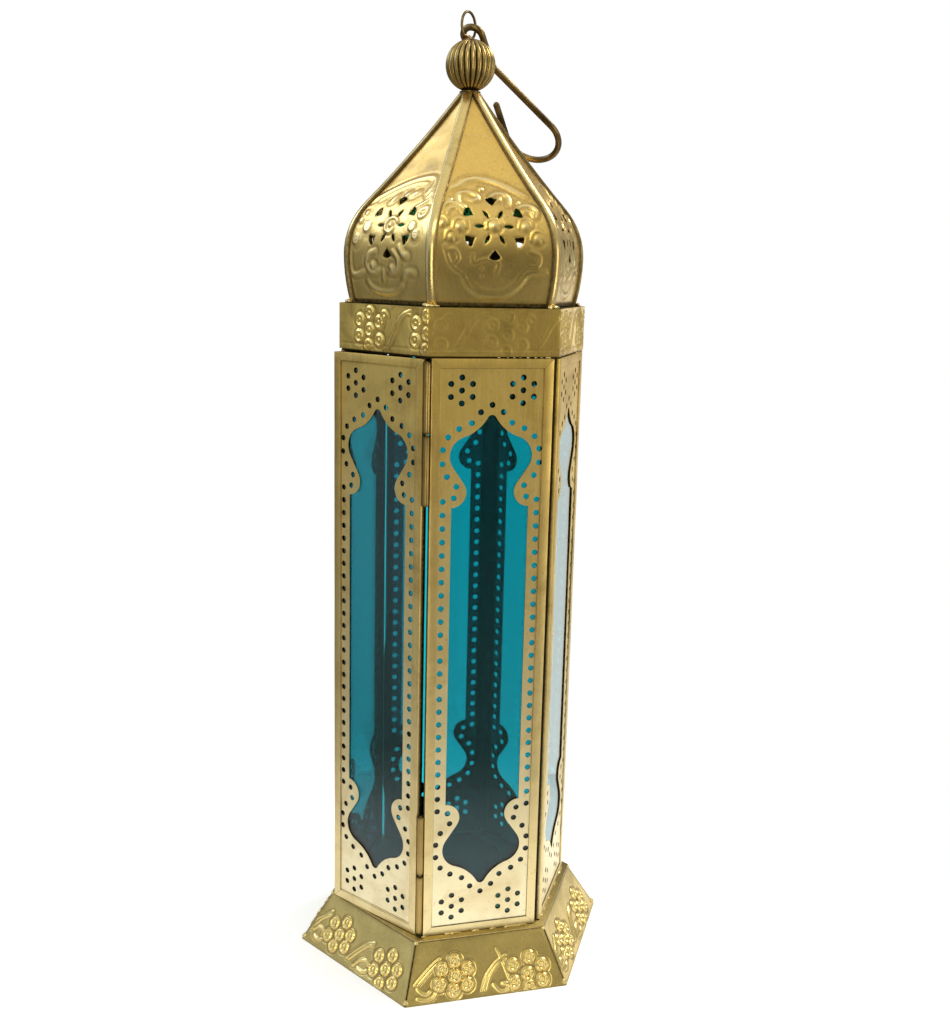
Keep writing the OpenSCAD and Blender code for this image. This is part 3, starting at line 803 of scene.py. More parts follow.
@dataclass
class DomeGores:
    """Six stamped and pierced gores of the onion dome.

    A grid is laid on the dome's profile, pressed onto the die, pierced by the rosette and
    given its thickness inwards. Heights are above the dome's foot.
    """

    height: float = 86.6
    foot: float = 43.6
    belly: float = 46.07
    belly_z: float = 20.1
    shoulder_r: float = 33.0
    shoulder_turn: float = math.radians(40)
    tip: float = 4.3
    inset: float = 1.2
    thick: float = 0.5
    seam: float = 0.3
    start: float = 0.45
    rosette_z: float = 31.5
    rosette_r: float = 15.0
    slit_ring: float = 6.0
    slit_l: float = 4.2
    slit_w: float = 1.5
    shield_ring: float = 9.3
    shield_l: float = 4.0
    shield_round: float = 0.6
    shield_half: float = math.radians(40)
    fine: int = 200
    columns: int = 132
    pitch: float = 0.42
    grip: float = 0.55
    on_edge: float = 0.02
    close: float = 0.4
    margin: float = 1.6
    burr: float = 0.16
    burr_mm: float = 0.35
    dent: float = 0.22
    dent_mm: float = 17.0
    tallest: float = 0.45
    wear_y: tuple[float, ...] = (-28, -8, 6, 18)
    front_wear: tuple[float, ...] = (0.45, 0.5, 0.8, 0.8)
    wear: tuple[float, ...] = (0.6, 0.75, 0.8, 0.7)

    def profile(self) -> tuple[np.ndarray, np.ndarray, np.ndarray]:
        """The gore's outer profile in the middle plane of a side.

        Returns:
            Lengths along the profile, distances out and heights, finely spaced.
        """
        flare = self.belly - self.foot
        belly_r = (self.belly_z ** 2 + flare ** 2) / (2 * flare)
        c, s = math.cos(self.shoulder_turn), math.sin(self.shoulder_turn)
        flank_a = self.belly - self.shoulder_r * (1 - c)
        flank_z = self.belly_z + self.shoulder_r * s
        run, rise = flank_a - self.tip, self.height - flank_z
        bow = math.atan2(rise, run) - (math.pi / 2 - self.shoulder_turn)
        flank_r = math.hypot(run, rise) / (2 * math.sin(bow))
        low = -math.asin((self.belly_z - self.start) / (belly_r - self.inset))
        line = np.vstack([
            arc(self.belly - belly_r, self.belly_z, belly_r - self.inset,
                np.linspace(low, 0, self.fine)),
            arc(self.belly - self.shoulder_r, self.belly_z, self.shoulder_r - self.inset,
                np.linspace(0, self.shoulder_turn, self.fine)[1:]),
            arc(flank_a + flank_r * c, flank_z + flank_r * s, flank_r + self.inset,
                math.pi + self.shoulder_turn - np.linspace(0, 2 * bow, self.fine)[1:])])
        length = np.r_[0, np.cumsum(np.hypot(*np.diff(line, axis=0).T))]
        return length, line[:, 0], line[:, 1]

    def holes(self, x: np.ndarray, y: np.ndarray) -> np.ndarray:
        """How far each place lies outside the nearest hole, slits and shields by turns.

        Args:
            x: places across from the rosette's middle.
            y: places up from it.

        Returns:
            Distances in millimetres, below zero inside a hole.
        """
        gaps = []
        slit_r = (self.slit_l ** 2 + self.slit_w ** 2) / (4 * self.slit_w)
        for number in range(12):
            turn = number // 2 * math.pi / 3 + number % 2 * math.pi / 6
            c, s = math.cos(turn), math.sin(turn)
            u, v = x * c + y * s, np.abs(y * c - x * s)
            if number % 2 == 0:
                gaps.append(np.hypot(u - self.slit_ring, v + slit_r - self.slit_w / 2) - slit_r)
                continue
            u -= self.shield_ring
            end = np.hypot(u, v) - self.shield_l + self.shield_round
            side = (v * math.cos(self.shield_half) - u * math.sin(self.shield_half)
                    + self.shield_round)
            gaps.append(np.minimum(np.maximum(end, side), 0) - self.shield_round
                        + np.hypot(np.maximum(end, 0), np.maximum(side, 0)))
        return np.min(gaps, axis=0)

    def arabesque(self) -> Die:
        """The die of the front gore: an ogee line over scrolls, beads and curling leaves.

        Returns:
            The die, in millimetres from the rosette's middle.
        """
        die = Die(broad=1.4).ridges_of(ARABESQUE)
        die.bead(-3.4, 17.6, 1.25, 0.6)
        die.bead(-16.6, 11.6, 1.2, 0.5).bead(10.8, 11.2, 1.1, 0.45)
        for x, y, r in ((-21.0, 1.1, 2.0), (-14.0, -0.4, 2.2), (12.9, 0.4, 2.3),
                        (-17.6, -4.8, 1.9), (17.5, -4.8, 2.2)):
            die.bead(x, y, r, 0.55)
            die.ridge([(x - r - 0.4, y - 0.6), (x - 0.8 * r, y + 1.1 * r), (x + 0.3, y + 1.5 * r),
                       (x + r, y + 0.9 * r), (x + r + 0.4, y - 0.4)], 0.7, 0.3)
        die.bead(0, 0.3, 2.3, 0.7)
        die.bead(-5.1, -16.6, 1.1, 0.25).bead(-4.9, -19.2, 1.0, 0.25)
        return die

    def foliage(self) -> Die:
        """The die of every second gore: leaf beads under an arch, scrolls and a swirl.

        Returns:
            The die, in millimetres from the rosette's middle.
        """
        die = Die(broad=1.4).ridges_of(FOLIAGE)
        for x, y, lean in ((-5.0, 12.9, 0.9), (1.4, 14.3, 0.8), (5.7, 15.0, 0.5),
                           (13.6, 17.1, 0.9), (15.7, 15.0, 0.7), (19.3, 12.1, 0.7)):
            c, s = 1.7 * math.cos(lean), 1.7 * math.sin(lean)
            die.ridge([(x - c, y - s), (x, y), (x + c, y + s)], 1.25, 0.6)
        for x, y, r in ((-20.0, -5.8, 2.7), (-14.3, -0.4, 3.1), (12.9, -0.6, 2.7),
                        (15.9, -4.2, 2.4)):
            die.ring(x, y, r * 0.8, 0.5).bead(x, y, r, 0.4)
        die.bead(-19.4, 2.4, 1.8, 0.45).bead(-17.4, 5.8, 1.6, 0.45)
        die.bead(0, 0, 1.5, 0.6)
        die.bead(-8.6, -16.6, 2, 0.65).bead(2.9, -17.6, 1.9, 0.65)
        return die

    def draw_to_holes(self, x: np.ndarray, y: np.ndarray) -> np.ndarray:
        """Draws the places close to a hole's edge onto it, so that it is cut clean.

        Args:
            x: places across from the rosette's middle, changed where they are drawn.
            y: places up from it, changed too.

        Returns:
            How far each place then lies outside the nearest hole.
        """
        near = (np.abs(x) < self.rosette_r) & (np.abs(y) < self.rosette_r)
        gap = np.full_like(x, 99.0)
        gap[near] = self.holes(x[near], y[near])
        for _ in range(4):
            move = near & (np.abs(gap) < self.grip * self.pitch)
            px, py, off = x[move], y[move], gap[move]
            gx = (self.holes(px + self.on_edge, py) - off) / self.on_edge
            gy = (self.holes(px, py + self.on_edge) - off) / self.on_edge
            size = np.maximum(gx ** 2 + gy ** 2, 0.2)
            x[move] -= off * gx / size
            y[move] -= off * gy / size
            gap[move] = self.holes(x[move], y[move])
        return gap

    def build_side(self, side: Side, die: Die) -> None:
        """Stamps, pierces and thickens one gore.

        Args:
            side: the side that it closes.
            die: the pattern stamped into it.
        """
        length, out, up = self.profile()
        total, centre = length[-1], np.interp(self.rosette_z, up, length)
        piece, u, share = sheet_grid(f"stamped_gore_{side.word}", self.columns,
                                     round(total / self.pitch))
        s = share * total
        # the wedge of the side is drawn back by the seam's gap
        half = (np.interp(s, length, out) - self.seam) * math.tan(HALF_SIDE)
        x, y = u * half, s - centre
        gap = self.draw_to_holes(x, y)
        s = np.clip(y + centre, 0, total)
        a, z = np.interp(s, length, out), np.interp(s, length, up)
        inside = (a - self.seam) * math.tan(HALF_SIDE) - np.abs(x)
        worn = self.front_wear if side is Side.FRONT else self.wear
        rim = np.clip((inside - self.margin) / 2, 0, 1) * np.clip((s - 1) / 1.5, 0, 1)
        # a burr is turned in round each hole
        high = (die.press(x, y) * np.interp(y, self.wear_y, worn) * rim
                - self.burr * falloff(gap, self.burr_mm))
        # the sheet bellies a little between its seams
        rest = np.c_[x, -a, z + DOME_FOOT]
        lift = high + self.dent * wander(rest, self.dent_mm, side.degrees / 60 * 7.3) * rim
        out_way = np.interp(s, length, np.gradient(up, length))
        up_way = -np.interp(s, length, np.gradient(out, length))
        points = rest + np.c_[np.zeros_like(x), -out_way * lift, up_way * lift]
        set_points(piece, turned(points, side.turn))
        # painted shade along the gore's edges by the ribs and at its foot, and darker round each
        # hole; the relief brightens the forms with wear and painted highlight, and darkens their
        # furrows with patina and painted shade
        edge = np.minimum(inside, s + 0.6)
        mark(piece, 0.9 * falloff(edge - 2, 0.3) + 0.5 * falloff(gap, 0.25),
             np.clip(high / self.tallest, -1, 1) * 0.9)
        self.pierce(piece, gap)
        thicken(piece, self.thick)
        shade(50)
        finish_piece(piece, Finish.DOME, "lantern", f"gore_{side.word}")

    def pierce(self, piece: Piece, gap: np.ndarray) -> None:
        """Cuts the rosette out along its drawn edges.

        Args:
            piece: the gore's sheet.
            gap: each vertex's distance outside the nearest hole.
        """
        sign = np.sign(gap) * (np.abs(gap) > self.on_edge)
        near = np.clip(gap, -self.close, self.close)
        with opened(piece) as mesh:
            for face in list(mesh.faces):
                ring = list(face.verts)
                signs = [sign[v.index] for v in ring]
                # a face that a hole's edge crosses is cut from corner to corner
                for i in (0, 1):
                    if min(signs) < 0 < max(signs) and signs[i] == 0 and signs[i + 2] == 0:
                        bmesh.utils.face_split(face, ring[i], ring[i + 2])
                        break
            gone = [face for face in mesh.faces if sum(near[v.index] for v in face.verts) < 0]
            bmesh.ops.delete(mesh, geom=gone, context="FACES")

    def build(self) -> None:
        """Makes the six gores, the two dies taking turns."""
        dies = (self.arabesque(), self.foliage())
        for number, side in enumerate(Side):
            self.build_side(side, dies[number % 2])


@dataclass
class DomeRibs:
    """Six strips bent over the seams of the dome, each folded softly down its middle."""

    names: tuple[str, ...] = ("rib_front_left", "rib_front_right", "rib_right",
                              "rib_back_right", "rib_back_left", "rib_left")
    ease: float = 0.16
    wave: float = 0.1
    wave_mm: float = 13.0
    crown: float = 1.7
    middle: float = 0.02
    edge_shade: float = 0.1

    def round_crown(self, piece: Piece, along: np.ndarray) -> None:
        """Rounds the fold down the middle of a strip.

        Args:
            piece: the strip.
            along: the direction across it.
        """
        with editing(piece):
            bpy.ops.mesh.select_mode(type="EDGE")
            bpy.ops.mesh.select_all(action="DESELECT")
            mesh = bmesh.from_edit_mesh(piece.data)
            for edge in mesh.edges:
                if edge.is_convex and all(abs(v.co.dot(Vector(along))) < self.middle * MM
                                          for v in edge.verts):
                    edge.select_set(True)
            bmesh.update_edit_mesh(piece.data)
            bpy.ops.mesh.bevel(offset=self.crown * MM, segments=6, affect="EDGES")
            bpy.ops.mesh.select_mode(type="VERT")

    def build(self) -> None:
        """Eases the edges of each strip and makes it wander as a hand-bent one does."""
        for number, (node, corner) in enumerate(zip(self.names, CORNERS)):
            piece = traced(node, f"seam_strip_{node[4:]}")
            _, along = ways_at(corner)
            self.round_crown(piece, along)
            ease(piece, self.ease)
            points = points_of(piece)
            across = np.abs(points @ along)
            sway = self.wave * wander(points * (0, 0, 1), self.wave_mm, 3.1 * number)
            set_points(piece, points + np.outer(sway, along))
            # painted shade along the strip's outermost edges, where it meets the gores
            mark(piece, 0.7 * (across > across.max() - self.edge_shade))
            finish_piece(piece, Finish.RIB, "lantern", node)


@dataclass
class TopBand:
    """The strip of stamped brass round the top of the panels.

    The strip's pattern runs on round the corners, because it was stamped before it was
    bent. On the front it is worn almost flat.
    """

    low: float = 272.0
    thick: float = 0.5
    columns: int = 126
    rows: int = 44
    fold_z: float = 2.5
    fold: float = 0.12
    dent: float = 0.14
    dent_mm: float = 15.0
    tallest: float = 0.6
    wear: float = 0.9
    front_wear: float = 0.13
    right_wear: float = 0.6
    clusters: tuple[float, ...] = (19.5, 54.0, 87.0, 120.0, 153.0, 186.0, 219.0, 252.0, 285.0,
                                   313.5)
    grape_r: float = 2.8

    def die(self) -> Die:
        """The grapes and stems of the whole strip.

        Returns:
            The die, with its places across measured round the strip from the left corner.
        """
        die = Die()
        for start in self.clusters:
            for dx, dz in ((0, 0), (-6.1, 3.9), (-6.6, -2.7), (0, 7.0), (-0.7, -6.4),
                           (5.9, 3.4), (6.1, -3.9)):
                die.ring(start + dx, 8.4 + dz, self.grape_r, 0.62)
            die.ridge([(start + 7, 12.6), (start + 7.6, 15.4), (start + 9.8, 16.2),
                       (start + 11.4, 14.6)], 0.9, 0.5)
            die.bead(start + 9.2, 13.9, 1.1, 0.5)
            for shift in (0.0, 1.7):
                die.ridge([(start + 8.9 + shift, 0.6), (start + 11.9 + shift, 3.6),
                           (start + 15.0 + shift, 8.4), (start + 17.2 + shift, 12.6),
                           (start + 20.6 + shift, 15.6), (start + 25, 17.2 - shift)], 0.75, 0.5)
        return die

    def stamp(self, side: Side, die: Die) -> Piece:
        """Stamps one side's length of the strip.

        Args:
            side: the side that it covers.
            die: the pattern of the whole strip.

        Returns:
            The sheet, without its thickness.
        """
        number = side.degrees // 60
        side_l, height = 2 * PANEL_FLATS * math.tan(HALF_SIDE), DOME_FOOT - self.low
        strip, u, share = sheet_grid(f"band_{side.word}", self.columns, self.rows)
        x, z = u * side_l / 2, share * height
        worn = {Side.FRONT: self.front_wear, Side.FRONT_RIGHT: self.right_wear}
        edge = np.minimum(z, height - z)
        rim = np.clip(edge / 1.2, 0, 1)
        corner = np.clip((side_l / 2 - np.abs(x)) / 0.8, 0, 1)
        high = die.press(x + side_l / 2 + side_l * ((number + 1) % 6), z)
        high *= rim * (0.4 + 0.6 * corner) * worn.get(side, self.wear)
        points = np.c_[x, np.full_like(x, -PANEL_FLATS), z + self.low]
        dent = self.dent * wander(points, self.dent_mm, 40 + number) * rim
        fold = -self.fold * np.exp(-((z - self.fold_z) / 0.35) ** 2)
        points[:, 1] -= (high + dent + fold) * corner
        set_points(strip, turned(points, side.turn))
        # painted shade along the lower edge, over the panels, and in the fold; the relief
        # brightens the grapes with wear and painted highlight
        mark(strip, 0.55 * falloff(edge, 0.5) * (z < height / 2)
             + 0.25 * np.exp(-((z - self.fold_z) / 0.5) ** 2),
             np.clip(high / self.tallest, -1, 1))
        return strip

    def build(self) -> None:
        """Stamps the strip on each side, joins the sides and folds the edges in."""
        die = self.die()
        piece = join([self.stamp(side, die) for side in Side], "stamped_band")
        inwards = (PANEL_FLATS - self.thick) / PANEL_FLATS
        with editing(piece):
            bpy.ops.mesh.remove_doubles(threshold=0.02 * MM)
            bpy.ops.mesh.select_all(action="DESELECT")
            bpy.ops.mesh.select_mode(type="EDGE")
            bpy.ops.mesh.select_non_manifold(extend=False, use_wire=False,
                                             use_multi_face=False, use_verts=False)
            # both edges go in by the sheet's thickness, and a plain wall joins them
            bpy.ops.mesh.extrude_edges_move()
            bpy.ops.transform.resize(value=(inwards, inwards, 1), center_override=(0, 0, 0))
            bpy.ops.mesh.bridge_edge_loops()
            bpy.ops.mesh.select_all(action="SELECT")
            bpy.ops.mesh.normals_make_consistent(inside=False)
        shade(40)
        finish_piece(piece, Finish.BAND, "lantern", "band")


# The curled leaves of the front foot sheet.
FOOT_FRONT: RidgeTable = (
    (0.7, 0.34, (-30, 6.4), (-28.2, 4.6), (-26, 4), (-24.6, 4.8)),
    (0.7, 0.34, (-30.4, 2.6), (-27, 1.6), (-23.6, 2.4), (-22.4, 4)),
    (0.8, 0.4, (3.4, 4.2), (6.2, 1.4), (9.2, 1.6), (9.6, 4), (7.4, 4.2)))

# The curled leaves of the door side's foot sheet, and of every second one.
FOOT_SIDE: RidgeTable = (
    (0.9, 0.55, (-31, 6.6), (-28.6, 8.8), (-25.6, 8.4), (-25, 6.4)),
    (0.9, 0.55, (-29.6, 4.2), (-26.6, 3.6), (-24, 4.6)),
    (0.9, 0.55, (-0.4, 2.8), (2, 6), (5.4, 7.2), (8, 6.2)),
    (0.9, 0.55, (2.4, 2.6), (5.4, 2.4), (8, 3.6)))


@dataclass
class FlaredFoot:
    """Six stamped sheets that flare out to the floor, butted at their corners."""

    height: float = 21.6
    thick: float = 0.6
    seam: float = 0.5
    columns: int = 216
    rows: int = 74
    grape_r: float = 2.75
    margin: float = 0.3
    dent: float = 0.2
    dent_mm: float = 15.0
    tallest: float = 0.65
    highlight_cap: float = 0.42
    dulled: float = 0.5
    plate_ease: float = 0.25

    def grapes(self, die: Die, places: Sequence[Point]) -> None:
        """Adds a cluster of grapes at the given places."""
        for x, t in places:
            die.ring(x, t, self.grape_r, 0.7)

    def front_die(self) -> Die:
        """The front sheet's pattern: two clusters, a stem beside each and curled leaves.

        Returns:
            The die, in millimetres from the sheet's middle and lower edge.
        """
        die = Die().ridges_of(FOOT_FRONT)
        self.grapes(die, ((-12.5, 15.8), (-18.3, 13.0), (-12.8, 9.7), (-20.0, 7.2),
                          (-7.5, 12.2), (-8.1, 6.1), (-14.2, 4.1)))
        self.grapes(die, ((13.1, 11.1), (20.8, 13.6), (26.1, 9.9), (19.4, 6.9), (13.1, 4.1),
                          (25.8, 3.8), (19.4, 1.9)))
        for shift in (0.0, 1.6):
            die.ridge([(-31.1 + shift, 8), (-27.0 + shift, 11.6), (-22.6 + shift, 15.2),
                       (-18.9, 17.4 - shift)], 0.6, 0.3)
            die.ridge([(-2.2 + shift, 2.4), (0.0 + shift, 7.4), (3.0 + shift, 11),
                       (6.1 + shift, 13.6), (10, 15.6 - shift)], 0.6, 0.3)
        # the lap in the sheet, pressed flat
        die.ridge([(6.1, 18.6), (7.8, 14.7), (8.9, 10.8), (10.6, 5.2), (11.7, 0.6)], 0.5, 0.2)
        return die

    def side_die(self) -> Die:
        """The door side's pattern, and that of every second sheet.

        Returns:
            The die, in millimetres from the sheet's middle and lower edge.
        """
        die = Die().ridges_of(FOOT_SIDE)
        self.grapes(die, ((-20.3, 13.8), (-13.3, 16.6), (-8.6, 12.7), (-15.0, 10.5),
                          (-21.7, 7.7), (-9.4, 7.2), (-16.1, 4.9)))
        self.grapes(die, ((11.7, 12.2), (18.9, 15.2), (24.2, 11.1), (17.8, 8.8), (11.4, 5.8),
                          (23.9, 5.5), (17.2, 2.4)))
        for shift in (0.0, 1.6):
            die.ridge([(-34.4 + shift, 6.3), (-30.6 + shift, 11.9), (-27.0 + shift, 15),
                       (-23.9, 17.6 - shift)], 0.8, 0.55)
            die.ridge([(-5.6 + shift, 4.1), (-1.1 + shift, 9.7), (2.8 + shift, 13.6),
                       (6.7, 15.6 - shift)], 0.8, 0.55)
        return die

    def build_side(self, side: Side, die: Die) -> None:
        """Stamps one sheet and gives it its thickness.

        Args:
            side: the side that it closes.
            die: the pattern stamped into it.
        """
        slant = math.hypot(FOOT_SPREAD, self.height)
        down, out = FOOT_SPREAD / slant, self.height / slant
        piece, u, share = sheet_grid(f"foot_sheet_{side.word}", self.columns, self.rows)
        t = share * slant
        a, z = FOOT_TOP + FOOT_SPREAD - t * down, t * out
        half = (a - self.seam) * math.tan(HALF_SIDE)
        x = u * half
        inside = half - np.abs(x)
        rim = np.clip(np.minimum(inside - self.margin, np.minimum(t, slant - t)) / 1.2, 0, 1)
        high = die.press(x, t) * rim
        rest = np.c_[x, -a, z]
        dent = self.dent * wander(rest, self.dent_mm, 60 + side.degrees / 10)
        lift = high + dent * np.clip(t / 3, 0, 1) * rim
        points = rest + np.c_[np.zeros_like(x), -out * lift, down * lift]
        set_points(piece, turned(points, side.turn))
        # furrows are darkened half again as much, patina and painted shade, and the ridges'
        # brightening, wear and painted highlight, is capped
        relief = np.where(high < 0, 1.5, 1.0) * high / self.tallest
        # painted shade along the sheet's edges: at its corners, on the floor and under the ledge
        edge = np.minimum(inside, np.minimum(t * 1.5, slant - t))
        mark(piece, 0.8 * falloff(edge, 0.6), np.clip(relief, -1, self.highlight_cap))
        thicken(piece, self.thick)
        # the lower edge is cut level, so that the sheet stands flat on it
        points = points_of(piece)
        below = np.minimum(points[:, 2], 0)
        inwards = turned(np.array([[0, 1.0, 0]]), side.turn)[0]
        points -= np.outer(below, inwards * down / out)
        points[:, 2] -= below
        set_points(piece, points)
        shade(45)
        finish_piece(piece, Finish.FOOT, "lantern", f"skirt_{side.word}")

    def build(self) -> None:
        """Makes the six sheets and the floor plate that they are soldered under."""
        dies = (self.front_die(), self.side_die())
        for number, side in enumerate(Side):
            self.build_side(side, dies[number % 2])
        plate = traced("floor_plate", "floor_sheet")
        ease(plate, self.plate_ease)
        # flux and wax have dulled it
        mark(plate, self.dulled)
        finish_piece(plate, Finish.FOOT, "lantern", "floor_plate")


@dataclass
class Panel:
    """One panel's nodes and directions, read from the box and mesh of its pane."""

    side: Side
    nodes: tuple[str, str, str] = field(init=False)
    body: str = field(init=False, default="lantern")
    pane: Piece = field(init=False)
    seed: float = field(init=False)
    centre: Vector = field(init=False)
    way: Vector = field(init=False)
    along: Vector = field(init=False)
    middle: float = field(init=False)

    def __post_init__(self) -> None:
        """Names the nodes and finds the ways that the panel faces and runs."""
        word = self.side.word
        self.nodes = (f"frame_{word}", f"fretwork_{word}", f"glass_{word}")
        if self.side is Side.DOOR:
            self.nodes = ("door_frame", "door_fretwork", "door_glass")
            self.body = "door"
        self.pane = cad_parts[self.nodes[2]]
        self.seed = 80 + self.side.degrees / 12
        low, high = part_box(self.nodes[2])
        self.centre = (low + high) / 2 / MM
        mesh = self.pane.data
        widest = max((p.normal * p.area for p in mesh.polygons), key=lambda n: n.length)
        middle = sum((v.co for v in mesh.vertices), Vector()) / len(mesh.vertices)
        way = Vector((widest.x, widest.y, 0)).normalized()
        self.way = way if way.dot(middle) > 0 else -way
        self.along = Vector((-self.way.y, self.way.x, 0))
        self.middle = self.centre.dot(self.along)

    def across(self, points: np.ndarray) -> np.ndarray:
        """How far each point lies across the panel from its middle line."""
        return (points - np.array(self.centre)) @ np.array(self.along)


@dataclass
class SidePanels:
    """Six panels: a folded channel, a pierced sheet and a pane, one of them the door."""

    low: float = 22.6
    high: float = 271.2
    width: float = 50.403
    lip: float = 3.9
    step: float = 7.0
    channel_ease: float = 0.16
    sheet_ease: float = 0.07
    bulge: float = 0.12
    bulge_mm: float = 31.0
    skin: float = 0.42
    line: float = 0.3
    foot_shade: float = 0.4
    mitre_line: float = 0.12
    stand_off: float = 0.9
    side_wall: float = 1.2
    solder_z: tuple[float, ...] = (44, 52, 118, 130)
    mitre_cuts: tuple[float, ...] = (-0.25, -0.1, 0.0, 0.1, 0.25)

    @property
    def inner(self) -> float:
        """The distance from a panel's middle line to its frame's lips."""
        return self.width / 2 - self.lip

    def ends(self, points: np.ndarray) -> np.ndarray:
        """How far each point lies from the nearer end of its panel."""
        return np.minimum(points[:, 2] - self.low, self.high - points[:, 2])

    def build_channel(self, panel: Panel) -> None:
        """Makes a panel's frame: painted shadow lines along its folds and foot, dark joints at its
        mitres.

        Args:
            panel: the panel.
        """
        piece = traced(panel.nodes[0], f"channel_{panel.side.word}")
        ease(piece, self.channel_ease)
        slice_at(piece, UP, *np.arange(self.low + 8, self.high - 5, self.step))
        for shift in (-self.line, self.line):
            slice_at(piece, panel.along, *(panel.middle + sign * (self.inner + shift)
                                           for sign in (-1, 1)))
            slice_at(piece, UP, self.low + self.lip - shift, self.high - self.lip + shift)
        slice_at(piece, UP, self.low + self.foot_shade + 0.15)
        for sign_x in (-1, 1):
            for sign_z in (-1, 1):
                self.mitre(piece, panel, sign_x, sign_z)
        points = self.hand_made(piece, panel)
        across = panel.across(points)
        if panel.side is Side.BACK:
            # its edge stands off its neighbour's, except where the solder pulled it up
            off = self.stand_off * np.interp(points[:, 2], self.solder_z, (1, 0, 0, 1))
            points -= np.outer(off * (across > self.width / 2 - self.side_wall), panel.along)
            set_points(piece, points)
        x, ends = np.abs(across), self.ends(points)
        from_lip = np.where(x < self.inner, np.abs(ends - self.lip), x - self.inner)
        corner = np.abs(self.width / 2 - x - ends)
        # the fold and foot lines are painted shadow; the mitre lines are dark joints
        self.mark_lines_and_shade(piece, panel, points,
                       0.8 * (from_lip < self.line / 2),
                       0.9 * (corner < self.mitre_line) * (x > self.inner - self.line),
                       0.9 * (points[:, 2] < self.low + self.foot_shade))
        finish_piece(piece, Finish.FRAME, panel.body, panel.nodes[0])

    def build_sheet(self, panel: Panel) -> None:
        """Makes a panel's pierced sheet, with a painted shadow where it runs under the frame's
        lips.

        Args:
            panel: the panel.
        """
        piece = traced(panel.nodes[1], f"pierced_sheet_{panel.side.word}", merge=0.002)
        slice_at(piece, UP, *np.arange(self.low + 7, self.high - 7, self.step))
        slice_at(piece, panel.along, *(panel.middle + sign * (self.inner - self.line)
                                       for sign in (-1, 1)))
        slice_at(piece, UP, self.low + self.lip + self.line, self.high - self.lip - self.line)
        ease(piece, self.sheet_ease, segments=1, angle=50)
        points = self.hand_made(piece, panel)
        # painted shadow of the frame's lips along the sheet's edges
        edge = np.minimum(self.inner - np.abs(panel.across(points)),
                          self.ends(points) - self.lip)
        self.mark_lines_and_shade(piece, panel, points, 0.7 * (edge < self.line / 2))
        finish_piece(piece, Finish.PANEL, panel.body, panel.nodes[1])

    def mark_lines_and_shade(self, piece: Piece, panel: Panel, points: np.ndarray,
                  *marks: np.ndarray) -> None:
        """Marks a sheet's dark lines, and paints all behind its front very dark as the shade
        inside the lantern.

        Args:
            piece: the sheet.
            panel: its panel.
            points: its points, in millimetres.
            marks: how dark each point is, for each kind of line.
        """
        depth = points @ np.array(panel.way)
        # painted shade: everything behind the front skin goes very dark
        inner_shade = 1.6 * (depth < depth.max() - self.skin)
        mark(piece, np.maximum.reduce([*marks, inner_shade]))

    def mitre(self, piece: Piece, panel: Panel, sign_x: int, sign_z: int) -> None:
        """Scores the mitre at one corner of a frame, for its dark line.

        Args:
            piece: the frame.
            panel: its panel.
            sign_x: which edge, -1 or 1.
            sign_z: which end, -1 or 1.
        """
        end = self.high if sign_z > 0 else self.low
        corner = Vector((panel.centre.x, panel.centre.y, end))
        corner += panel.along * (sign_x * self.width / 2)
        normal = (panel.along * sign_x - UP * sign_z).normalized()
        reach = 3 * self.lip
        for shift in self.mitre_cuts:
            with opened(piece) as mesh:
                near = [face for face in mesh.faces
                        if (face.calc_center_median() / MM - corner).length < 4 * reach]
                parts = dict.fromkeys(part for face in near
                                      for part in (face, *face.edges, *face.verts))
                geom = [part for part in parts if not isinstance(part, bmesh.types.BMVert)
                        or (part.co / MM - corner).length < reach]
                bmesh.ops.bisect_plane(mesh, geom=geom, dist=1e-7, plane_no=normal,
                                       plane_co=(corner + normal * shift) * MM)

    def hand_made(self, piece: Piece, panel: Panel) -> np.ndarray:
        """Moves a panel's sheet metal slightly outwards in slow waves.

        Args:
            piece: the frame or sheet.
            panel: its panel.

        Returns:
            The moved points, in millimetres.
        """
        points = points_of(piece)
        x = panel.across(points)
        flat = np.c_[x, np.zeros_like(x), points[:, 2]]
        lift = self.bulge * (1 + wander(flat, self.bulge_mm, panel.seed))
        points += np.outer(lift, panel.way)
        set_points(piece, points)
        return points

    def build(self) -> None:
        """Makes the six panels, and dresses their panes."""
        for side in Side:
            panel = Panel(side)
            self.build_channel(panel)
            self.build_sheet(panel)
            panel.pane.data.materials.clear()
            # the door pane's deeper tint is painted shade
            tint = Finish.DOOR_GLASS if side is Side.DOOR else Finish.GLASS
            panel.pane.data.materials.append(tint.material)


@dataclass
class DoorHinges:
    """Two rolled hinges, each with a knuckle on the frame, one on the door and a pin."""

    knuckle_ease: float = 0.2
    pin_ease: float = 0.3
    cuts: tuple[float, float] = (0.9, 2.2)

    def build(self) -> None:
        """Eases the knuckles' edges, paints shade at their ends and rounds the pins' heads."""
        for place in ("upper", "lower"):
            for owner, body in (("fixed", "lantern"), ("door", "door")):
                node = f"{owner}_knuckle_{place}"
                piece = traced(node, f"rolled_{node}")
                low, high = (corner.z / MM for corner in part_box(node))
                slice_at(piece, UP, *(low + cut for cut in self.cuts),
                         *(high - cut for cut in reversed(self.cuts)))
                ease(piece, self.knuckle_ease, segments=3)
                z = points_of(piece)[:, 2]
                # painted shade at each knuckle's ends, in the gaps between knuckles
                mark(piece, 0.9 * falloff(np.minimum(z - z.min(), z.max() - z), 0.6))
                finish_piece(piece, Finish.HINGE, body, node)
            smoothed(f"hinge_pin_{place}", f"rounded_hinge_pin_{place}", Finish.WIRE, "lantern",
                     self.pin_ease, segments=3)


